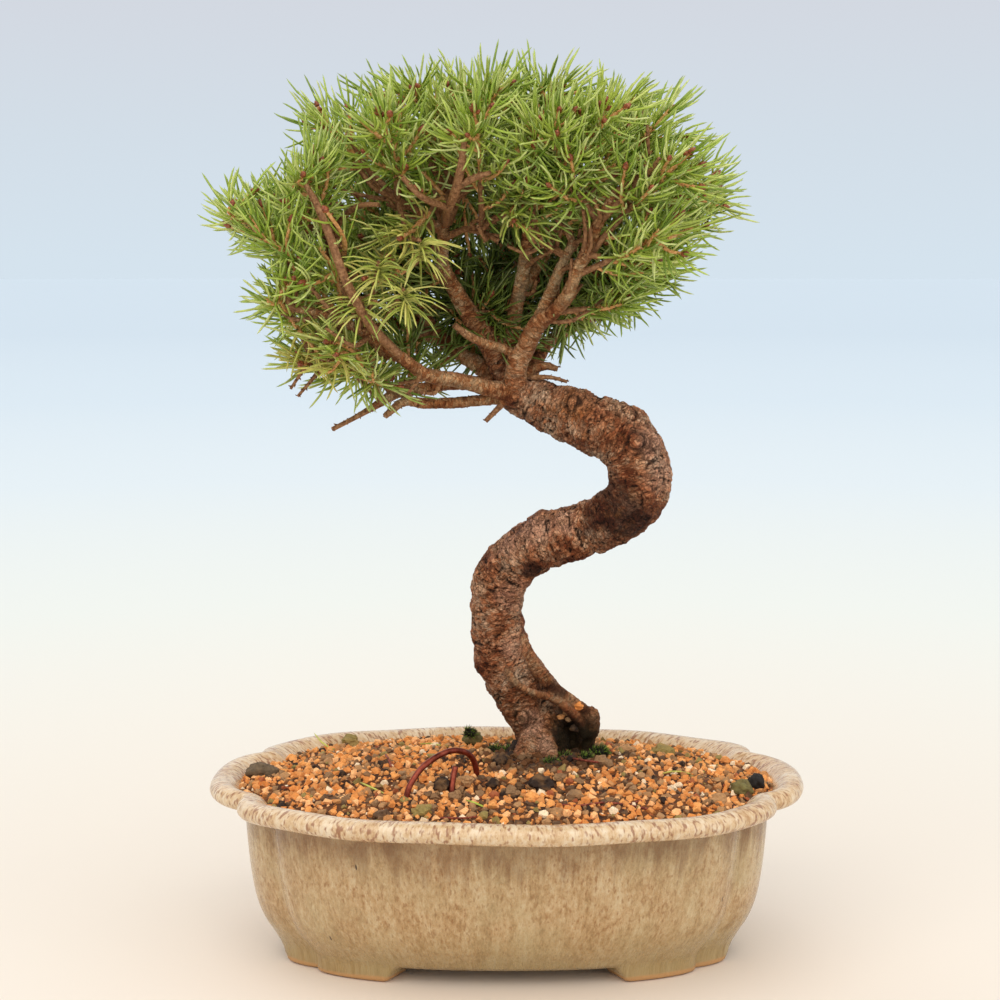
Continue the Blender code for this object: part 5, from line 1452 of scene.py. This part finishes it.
def turned_mesh(name, profile, sides, bend=0.0, twist=0.5, **attributes):
    """A form lathed round Z from rows of (radius, height), bent towards +X, with one point at the tip."""
    top = profile[-1][1]
    points = []
    for k, (radius, height) in enumerate(profile[:-1]):
        shift = bend * (height / top) ** 2
        for i in range(sides):
            turn = math.tau * (i + twist * (k % 2)) / sides
            points.append((radius * math.cos(turn) + shift, radius * math.sin(turn), height))
    points.append((bend, 0, top))
    tip = len(points) - 1
    faces = [(k + i, k + (i + 1) % sides, k + (i + 1) % sides + sides, k + i + sides)
             for k in range(0, tip - sides, sides) for i in range(sides)]
    faces += [(tip - sides + i, tip - sides + (i + 1) % sides, tip) for i in range(sides)]
    faces.append(tuple(reversed(range(sides))))
    rows = {title: [*np.repeat(values[:-1], sides), values[-1]] for title, values in attributes.items()}
    obj = mesh_object(name, points, faces, smooth=True, **rows)
    bpy.context.scene.collection.objects.unlink(obj)
    return obj


tree, given, result = geometry_tree("twigs with pegs", **{
    "Shape": "Object", "Peg spacing": "Float", "Seed": "Int"})
twig_tree = tree
line = add(tree, "MeshToCurve", {"Mesh": given["Geometry"]})
thick = add(tree, "InputNamedAttribute", {"Name": "thick"}, data_type="FLOAT")
ring = add(tree, "CurvePrimitiveCircle", {"Resolution": 6, "Radius": 1.0})
tubes = add(tree, "CurveToMesh", {"Curve": line, "Profile Curve": ring, "Scale": thick, "Fill Caps": True})
dots = add(tree, "ResampleCurve", {"Curve": line, "Length": given["Peg spacing"]}, mode="LENGTH")
tangent = add(tree, "InputTangent")
turn = add(tree, "Math", [add(tree, "InputIndex"), NEXT_LEAF], operation="MULTIPLY")
out = add(tree, "VectorRotate", {"Vector": add(tree, "InputNormal"), "Axis": tangent, "Angle": turn})
ahead = add(tree, "VectorMath", {"Vector": tangent, "Scale": 0.9}, operation="SCALE")
tilted = add(tree, "VectorMath", [out, ahead], operation="ADD")
off = add(tree, "Math", [thick, 0.8], operation="MULTIPLY")
away = add(tree, "VectorMath", {"Vector": out, "Scale": off}, operation="SCALE")
pegs = add(tree, "InstanceOnPoints", {
    "Points": add(tree, "SetPosition", {"Geometry": dots, "Offset": away}),
    "Instance": add(tree, "ObjectInfo", {"Object": given["Shape"]}).outputs["Geometry"],
    "Rotation": add(tree, "AlignRotationToVector", {"Vector": tilted}, axis="Z"),
    "Scale": add(tree, "RandomValue", {"Min": 0.5, "Max": 1.2, "Seed": given["Seed"]})})
end_tree(tree, given, result, tubes, pegs)

# %% [markdown]
# Wood of this year is orange-tan and slightly glossy, older twigs are a dull brown. The attribute `young`
# blends the two, with fine dark marks about 1 mm apart.

# %% Twig bark
twig_bark, tree, shader, place = material("spruce_twig_bark", IOR=1.45)
young = add(tree, "Attribute", attribute_name="young").outputs["Fac"]
marks = add(tree, "TexNoise", [place, per(1.1), 4.0, 0.7])
brown = add(tree, "ValToRGB", [marks], stops=[
    (0.3, "#4a2e1e"), (0.48, "#7a5033"), (0.62, "#a0714a"), (0.75, "#c29a72")])
orange = add(tree, "ValToRGB", [marks], stops=[(0.3, "#b87440"), (0.5, "#e6a664"), (0.7, "#f5cc98")])
connect(tree, shader, {
    "Base Color": coats(tree, brown, [(young, 0.0, 1.0, 0.0, 1.0, orange)]),
    "Roughness": add(tree, "MapRange", [marks, 0.0, 1.0, 0.85, 0.55]),
    "Normal": add(tree, "Bump", {"Height": marks, "Strength": 0.6, "Distance": 0.2 * MM})})

# %% Brown twigs: limb ends, the twigs of the sprays, and bare twigs inside the crown
BARE_TWIGS = 110
CENTRE_OF_GROWTH = Vector(CROWN_CENTRE) * MM * 0.96
OLD_TUFTS = [(-27.3, -36, 238.5), (-32.1, -36, 223.5), (-40, -36, 232), (-46, -35, 221)]
# Rough old twigs that show between the tufts, in mm with a radius.
KNOTTY_TWIGS = [
    [(-53, -15, 240, 1.7), (-57, -18, 247, 2.1), (-58, -19, 253, 1.9), (-61, -20, 259, 1.2)],
    [(-53, -15, 238, 1.4), (-60, -20, 243, 1.2), (-66, -24, 246, 0.9)],
    [(-55, -17, 244, 1.2), (-50, -24, 249, 1.0), (-45, -30, 251, 0.9), (-40, -33, 251, 0.8)],
    [(-57, -18, 250, 1.2), (-63, -23, 254, 1.0), (-66, -26, 256, 0.8)],
    [(-20, 0, 246, 2.3), (-17.5, -3, 253, 2.4), (-15.5, -6, 260, 2.0), (-14, -9, 266, 1.5)],
    [(-17, -4, 254, 1.6), (-11, -9, 258, 1.5), (-7, -12, 259.5, 1.0)],
    [(-19, -2, 255, 1.7), (-23, -8, 261, 1.6), (-25, -12, 267, 1.2)],
    [(30, -27, 247, 1.5), (37, -31, 254, 1.3), (42, -34, 259, 1.0)],
    [(-34, -20, 203, 1.6), (-43, -33, 214, 1.6), (-50, -41, 228, 1.5), (-54, -43, 240, 1.4),
     (-58, -42, 250, 1.2), (-62, -40, 257, 0.9)],
    [(-20, -1, 246, 1.6), (-19, -22, 249, 1.5), (-16, -34, 255, 1.6), (-14, -41, 263, 1.3),
     (-13, -43, 270, 0.9)],
    [(-16, -35, 256, 1.2), (-10, -40, 259, 1.1), (-5, -42, 260.5, 0.7)],
    [(-18, -26, 250, 1.1), (-26, -38, 253, 1.0), (-32, -42, 259, 0.8)]]

rods = []
for path, radii in limb_paths.values():
    # A line along the whole limb: inside the skin where the limb is thick, so only its pegs stand out.
    inside = thick_steps(radii) - 2
    rods.append((path, [radius * (0.9 if k < inside else 1) for k, radius in enumerate(radii)]))
for spray in sprays:
    path, radii = smooth_path(spray["twig"], spray["radii"], 3)
    radii = [radius * 1.15 for radius in radii] + [SHOOT_RADIUS] * 3
    rods.append((path + bent(spray["stems"][0])[:3], radii))
rods += [smooth_path(*in_metres(rows), 4) for rows in KNOTTY_TWIGS]
dice = np.random.default_rng(12)
leafy_limbs = [name for name in LIMBS if not name.endswith(("stub", "dead_twig", "low_left", "far_left"))]
for number in range(BARE_TWIGS):
    path, _ = limb_paths[leafy_limbs[number % len(leafy_limbs)]]
    at = int(dice.uniform(0.35, 0.95) * (len(path) - 2))
    outward = (path[at] - CENTRE_OF_GROWTH).normalized()
    ahead = (path[at + 1] - path[at]).normalized()
    way = (ahead * 0.8 + outward * 0.5 + Vector(dice.uniform(-0.7, 0.7, 3))).normalized()
    length = dice.uniform(9, 22) * MM
    bend = Vector(dice.uniform(-0.5, 0.5, 3)) + Vector((0, 0, 0.3))
    turned = (way + bend * 0.6).normalized()
    twig = bent([path[at], path[at] + way * length * 0.5, path[at] + turned * length], 3)
    rods.append((twig, np.linspace(0.95, 0.5, len(twig)) * MM))
for tuft in OLD_TUFTS:
    tuft = Vector(tuft) * MM
    start = min((place[0] for place in limb_places()), key=lambda spot: (spot - tuft).length)
    twig = bent([start, start.lerp(tuft, 0.5) - Vector((0, 0, 4 * MM)), tuft + Vector((0, 0, 1.5 * MM))])
    rods.append((twig, np.linspace(1.0, 0.6, len(twig)) * MM))
peg = turned_mesh("peg", [(0.42 * MM, -0.2 * MM), (0.3 * MM, 0.5 * MM), (0, 1.05 * MM)], 3)
lines, thicks = zip(*rods)
twigs = centre_lines("brown_twigs", lines, thick=thicks, young=[0.12] * len(lines))
grown(twigs, twig_tree, **{"Shape": peg, "Finish": twig_bark, "Peg spacing": 0.95 * MM, "Seed": 2})
hand_over(twigs, "bark")

lines = [shoot["path"] for shoot in shoots]
thicks = [np.linspace(0.88, 0.6, len(shoot["path"])) * (1.0 if shoot["main"] else 0.82) * MM
          for shoot in shoots]
stems = centre_lines("young_shoots", lines, thick=thicks, young=[0.9] * len(lines))
grown(stems, twig_tree, **{"Shape": peg, "Finish": twig_bark, "Peg spacing": 2.6 * MM, "Seed": 3})
hand_over(stems, "bark")

# %% [markdown]
# A spruce needle is a stiff four-sided rod about 12 mm long and under 1 mm thick, curved towards the shoot's
# tip and drawn to a sharp point. The mesh has three sides and 22 triangles, because it is repeated over ten
# thousand times. The tree of nodes sets the needles round each shoot by the golden angle. They lean out at
# the base and close up towards the bud, their lengths vary, and light pulls them all slightly upwards. Each
# keeps a random `tone`.

# %% The tree of nodes for needles
tree, given, result = geometry_tree("needles along shoots", **{
    "Shape": "Object", "Spacing": "Float", "Lean at base": "Float", "Lean at tip": "Float", "Lift": "Float",
    "Seed": "Int"})
needle_tree = tree
line = add(tree, "MeshToCurve", {"Mesh": given["Geometry"]})
dots = add(tree, "ResampleCurve", {"Curve": line, "Length": given["Spacing"]}, mode="LENGTH")
reach = add(tree, "SplineParameter").outputs["Factor"]
dots = add(tree, "StoreNamedAttribute", {"Geometry": dots, "Name": "reach", "Value": reach},
           data_type="FLOAT", domain="POINT")
draws = add(tree, "SeparateXYZ", [add(tree, "RandomValue", {
    "Min": (-1, -1, -1), "Max": (1, 1, 1), "Seed": given["Seed"]}, data_type="FLOAT_VECTOR")]).outputs
turn = add(tree, "Math", [add(tree, "InputIndex"), NEXT_LEAF, draws["X"]], operation="MULTIPLY_ADD")
lean = add(tree, "MapRange", [reach, 0.0, 1.0, given["Lean at base"], given["Lean at tip"]],
           interpolation_type="SMOOTHSTEP")
lean = add(tree, "Math", [draws["Y"], 0.16, lean], operation="MULTIPLY_ADD")
tangent = add(tree, "InputTangent")
out = add(tree, "VectorRotate", {"Vector": add(tree, "InputNormal"), "Axis": tangent, "Angle": turn})
hinge = add(tree, "VectorMath", [tangent, out], operation="CROSS_PRODUCT")
way = add(tree, "VectorRotate", {"Vector": tangent, "Axis": hinge, "Angle": lean})
way = add(tree, "VectorMath", [way, add(tree, "CombineXYZ", {"Z": given["Lift"]})], operation="ADD")
pointing = add(tree, "AlignRotationToVector", {"Vector": way}, axis="Z")
pointing = add(tree, "AlignRotationToVector", {"Rotation": pointing, "Vector": tangent},
               axis="X", pivot_axis="Z")
length = add(tree, "Math", [draws["Z"], 0.16, 0.95], operation="MULTIPLY_ADD")
cover = add(tree, "InputNamedAttribute", {"Name": "cover"}, data_type="FLOAT")
needles = add(tree, "InstanceOnPoints", {
    "Points": dots, "Rotation": pointing, "Scale": add(tree, "CombineXYZ", [1.0, 1.0, length]),
    "Instance": add(tree, "ObjectInfo", {"Object": given["Shape"]}).outputs["Geometry"],
    "Selection": add(tree, "Compare", {"A": add(tree, "RandomValue", {"Seed": 31}), "B": cover},
                     operation="LESS_THAN")})
end_tree(tree, given, result, toned(tree, needles, 41))

# %% [markdown]
# A needle is waxy: a fresh mid green, with a pale waxy bloom and a paler point. Light passes through it a
# little, which is why a crown glows at its edges, so the colours are on the light side. The colour runs with
# `tone` from needle to needle, is darker inside the crown, partly because needles there are older and partly
# as painted shade, turns lighter towards the shoot's tip in fresh growth, and goes to gold where a tuft has
# yellowed.

# %% Needle green
needle_green, tree, shader, place = material("waxy_spruce_needle", IOR=1.45, Specular_IOR_Level=0.35)
tone, along, reach, yellow, fresh = [add(tree, "Attribute", attribute_name=title).outputs["Fac"]
                                     for title in ("tone", "along", "reach", "yellow", "fresh")]
green = add(tree, "ValToRGB", [tone], stops=[
    (0.0, "#6f8c2c"), (0.35, "#a4bd44"), (0.7, "#c6d660"), (1.0, "#e8ee9e")])
# Painted shade: the green darkens towards the crown's middle, partly for older needles.
inside = add(tree, "VectorMath", [place, (-0.006, 0.008, 0.224)], operation="DISTANCE").outputs["Value"]
gold = add(tree, "Math", [yellow, add(tree, "MapRange", [tone, 0.15, 0.85, 0.35, 1.0])], operation="MULTIPLY")
opening = add(tree, "Math", [fresh, add(tree, "MapRange", [reach, 0.5, 1.0, 0.0, 0.7])], operation="MULTIPLY")
leaf = coats(tree, green, [
    (along, 0.55, 1.0, 0.0, 0.5, "#c3cf86"), (along, 0.0, 0.25, 0.45, 0.0, "#8c8a3c"),
    (inside, 0.024, 0.06, 0.66, 0.0, "#3d4f1c"), (gold, 0.0, 1.0, 0.0, 1.0, "#d6c96c"),
    (opening, 0.0, 1.0, 0.0, 1.0, "#cbd65a")])
bloom = add(tree, "TexNoise", [place, per(2.5), 2.0])
connect(tree, shader, {
    "Base Color": grained(tree, leaf, bloom, 0.3, 0.7, 0.82, 1.15),
    "Roughness": add(tree, "MapRange", [bloom, 0.3, 0.7, 0.35, 0.55])})

# %% Needles, a piece for each part of the crown
def needle_mesh(name, length, radius, bend):
    """A thin three-sided rod, rounded by smooth shading and bent in an arc, with a short sharp point."""
    steps = [(0.75, 0), (1, 0.3), (1, 0.62), (0.82, 0.9), (0, 1)]
    profile = [(share * radius * MM, along * length * MM) for share, along in steps]
    return turned_mesh(name, profile, 3, bend=bend * MM, twist=0, along=[along for _, along in steps])


needle = needle_mesh("needle", 12.6, 0.42, 5)
for number, home in enumerate(sorted({shoot["home"] for shoot in shoots})):
    mine = [shoot for shoot in shoots if shoot["home"] == home]
    foliage = centre_lines(f"needles_{home}", [shoot["path"] for shoot in mine], **{
        title: [shoot[title] for shoot in mine] for title in ("cover", "yellow", "fresh")})
    grown(foliage, needle_tree, **{
        "Shape": needle, "Finish": needle_green, "Spacing": 0.68 * MM, "Lean at base": math.radians(80),
        "Lean at tip": math.radians(44), "Lift": 0.08, "Seed": 100 + number})
    stands_for = [spray["name"] for spray in plans if region(spray["stems"][0][-1]) == home]
    hand_over(foliage, "needles", *stands_for)

# %% [markdown]
# At the lower left front, a few weak old tufts have gone yellow. Their needles are long, and arch out and
# down from a dry grey tip like the ribs of an umbrella. The same tree makes them from a needle that bends
# outwards.

# %% Old yellow tufts
TUFT_STEPS = (-4.5, -2.5, -1, 0.5)
long_needle = needle_mesh("long_needle", 12, 0.4, -8)
lines = [[Vector(tuft) * MM + Vector((0.4, 0, step)) * MM for step in TUFT_STEPS] for tuft in OLD_TUFTS]
tufts = centre_lines("needles_old_tufts", lines, cover=[1.0] * len(lines), yellow=[0.72] * len(lines),
                     fresh=[0.0] * len(lines))
grown(tufts, needle_tree, **{
    "Shape": long_needle, "Finish": needle_green, "Spacing": 0.17 * MM, "Lean at base": math.radians(96),
    "Lean at tip": math.radians(58), "Lift": 0.0, "Seed": 60})
hand_over(tufts, "needles")

# %% [markdown]
# Every shoot ends in a bud, an egg of overlapping red-brown scales about 2 mm long. The end of a strong shoot
# has two or three. A tree of nodes sets one bud mesh on each tip, turned along the shoot by the attribute
# `way`.

# %% Buds
bud_scales, tree, shader, place = material("resinous_bud_scales", Coat_Weight=0.15, Coat_Roughness=0.3)
scaly = add(tree, "TexNoise", [place, per(0.8), 3.0])
connect(tree, shader, {
    "Base Color": add(tree, "ValToRGB", [scaly], stops=[
        (0.3, "#5e2614"), (0.5, "#96482a"), (0.7, "#bd7248")]),
    "Roughness": add(tree, "MapRange", [scaly, 0.0, 1.0, 0.6, 0.4])})
bud = turned_mesh("bud", [(0.45 * MM, -0.3 * MM), (0.95 * MM, 0.35 * MM), (0.8 * MM, 0.9 * MM),
                          (0.86 * MM, 1.1 * MM), (0.5 * MM, 1.7 * MM), (0, 2.3 * MM)], 6)
# Up to three buds on a tip: (lean to the side, place back from the tip in mm, size).
BUD_PLACES = [(0, 0, 1), (0.8, 1.2, 0.8), (-0.8, 1.6, 0.75)]

tips, ways, sizes = [], [], []
for index, shoot in enumerate(shoots):
    tip = shoot["path"][-1]
    way = (tip - shoot["path"][-2]).normalized()
    side = way.cross(Vector((0.3, 0.2, 1))).normalized()
    count = 3 if shoot["main"] and wobble(index, 71) > 0.35 else 1 if wobble(index, 72) > 0.3 else 0
    for lean, back, size in BUD_PLACES[:count]:
        tips.append(tip + side * lean * 0.9 * MM - way * back * MM)
        ways.append((way + side * lean).normalized())
        sizes.append((0.92 + 0.38 * wobble(index, 73)) * size)
tree, given, result = geometry_tree("buds on tips", Shape="Object")
bud_tree = tree
way = add(tree, "InputNamedAttribute", {"Name": "way"}, data_type="FLOAT_VECTOR")
end_tree(tree, given, result, add(tree, "InstanceOnPoints", {
    "Points": given["Geometry"], "Rotation": add(tree, "AlignRotationToVector", {"Vector": way}, axis="Z"),
    "Instance": add(tree, "ObjectInfo", {"Object": given["Shape"]}).outputs["Geometry"],
    "Scale": add(tree, "InputNamedAttribute", {"Name": "size"}, data_type="FLOAT")}))
buds = mesh_object("buds", tips, size=sizes, way=ways)
hand_over(grown(buds, bud_tree, Shape=bud, Finish=bud_scales), "bark")

# %% [markdown]
# Small things on the grit finish the picture: moss at the trunk's foot and on the stone behind the wire, a
# few thin dead roots, and fallen needles. Moss is a tuft of short blades, scattered by nodes over small
# patches.

# %% Moss
BLADES_A_SQUARE_METRE = 6e6
MOSS_SPOTS = [
    (32, 9, 66.5, 2.6), (15, -6, 66.2, 2.0), (27, 3, 65.8, 2.0), (2, 9, 66.8, 3.0), (-4, 10, 66.4, 2.2),
    (20, 2, 66.0, 1.8), (5, 3, 66.4, 1.8), (-13, 28, 68.6, 1.7)]

moss_green, tree, shader, place = material("cushion_moss", Roughness=0.8)
tone = add(tree, "Attribute", attribute_name="tone").outputs["Fac"]
connect(tree, shader, [add(tree, "ValToRGB", [tone], stops=[
    (0.0, "#1e1c10"), (0.4, "#3a3c16"), (0.7, "#5d6e22"), (0.88, "#8fb43a"), (1.0, "#4a3a20")])])
blade = turned_mesh("moss_blade", [(0.16 * MM, 0), (0.13 * MM, 0.8 * MM), (0, 1.7 * MM)], 3, bend=0.4 * MM)
tree, given, result = geometry_tree("moss blades", Shape="Object", Density="Float", Seed="Int")
spots = add(tree, "DistributePointsOnFaces", {
    "Mesh": given["Geometry"], "Density": given["Density"], "Seed": given["Seed"]},
    distribute_method="RANDOM")
way = add(tree, "RandomValue", {"Min": (-0.7, -0.7, 0.1), "Max": (0.7, 0.7, 1.0), "Seed": 7},
          data_type="FLOAT_VECTOR")
way = add(tree, "VectorMath", [spots.outputs["Normal"], way], operation="ADD")
blades = add(tree, "InstanceOnPoints", {
    "Points": spots, "Instance": add(tree, "ObjectInfo", {"Object": given["Shape"]}).outputs["Geometry"],
    "Rotation": add(tree, "AlignRotationToVector", {"Vector": way}, axis="Z"),
    "Scale": add(tree, "RandomValue", {"Min": 0.5, "Max": 1.3, "Seed": 9})})
end_tree(tree, given, result, given["Geometry"], toned(tree, blades, 13))
points, faces = heap([pebble((x, y, z), (half, half * 0.8, 1.4), seed + 80, rough=0.5, level=2)
                      for seed, (x, y, z, half) in enumerate(MOSS_SPOTS)])
moss = mesh_object("moss", points, faces, smooth=True, tone=[0.1] * len(points))
hand_over(grown(moss, tree, Shape=blade, Finish=moss_green, Density=BLADES_A_SQUARE_METRE, Seed=5), "grit")

# %% Thin roots and fallen needles
ROOTLET_RADIUS = 0.36 * MM
ROOTLET_WAVE = 0.5 * MM
WAVES_A_METRE = 160
ROOTLETS = [
    [(13, -44.3, 62.9), (22.5, -45.5, 62.7), (32.2, -42, 62.6), (40, -43.5, 62.1), (44.7, -45.2, 61.2)],
    [(38, -43, 62.2), (41.8, -40.6, 62.6), (44, -38.5, 62.4)],
    [(-41.3, 5, 66.6), (-39.8, -3, 67.2), (-38.5, -10.1, 66.2)],
    [(-24, -52, 60.6), (-15, -53.5, 60.8), (-7, -51, 61.2)],
    [(20, -1, 67), (25, -7, 67.6), (32, -9, 66.8)]]
# Rows of (x, y, z) in mm, the way that the needle points, and how yellow it is.
FALLEN = [((-13, -42.6, 63.6), (0.8, -0.62, -0.02), 0.1), ((52, -12, 64.4), (0.6, 0.5, 0.1), 1),
          ((-60, 28, 62.4), (-0.7, 0.4, 0.05), 0.9), ((-30, 22, 66.2), (0.9, 0.2, 0.1), 0.6),
          ((66, -5, 62.6), (0.1, 0.9, 0), 1), ((-48, -22, 63.9), (0.5, -0.8, 0.02), 0.8),
          ((22, 34, 64.6), (-0.6, 0.7, 0.05), 1)]

root_bark, tree, shader, place = material("dead_rootlet", Roughness=0.7)
marks = add(tree, "TexNoise", [place, per(1), 3.0])
connect(tree, shader, [add(tree, "ValToRGB", [marks], stops=[
    (0.35, "#4e1c12"), (0.55, "#8a3a24"), (0.75, "#b0623c")])])
for number, rows in enumerate(ROOTLETS):
    path, radii = smooth_path([Vector(row) * MM for row in rows], [ROOTLET_RADIUS] * len(rows), 5)
    path = [point + noise.noise_vector(point * WAVES_A_METRE) * ROOTLET_WAVE for point in path]
    hand_over(bent_bar(f"rootlet_{number + 1}", path, radii, root_bark, resolution=1), "bark")

spots, ways, yellows = zip(*FALLEN)
count = len(FALLEN)
fallen = mesh_object("fallen_needles", [Vector(spot) * MM for spot in spots], size=[0.9] * count, way=ways,
                     yellow=yellows, tone=[0.5] * count, fresh=[0] * count, reach=[0.3] * count)
hand_over(grown(fallen, bud_tree, Shape=needle, Finish=needle_green), "needles")
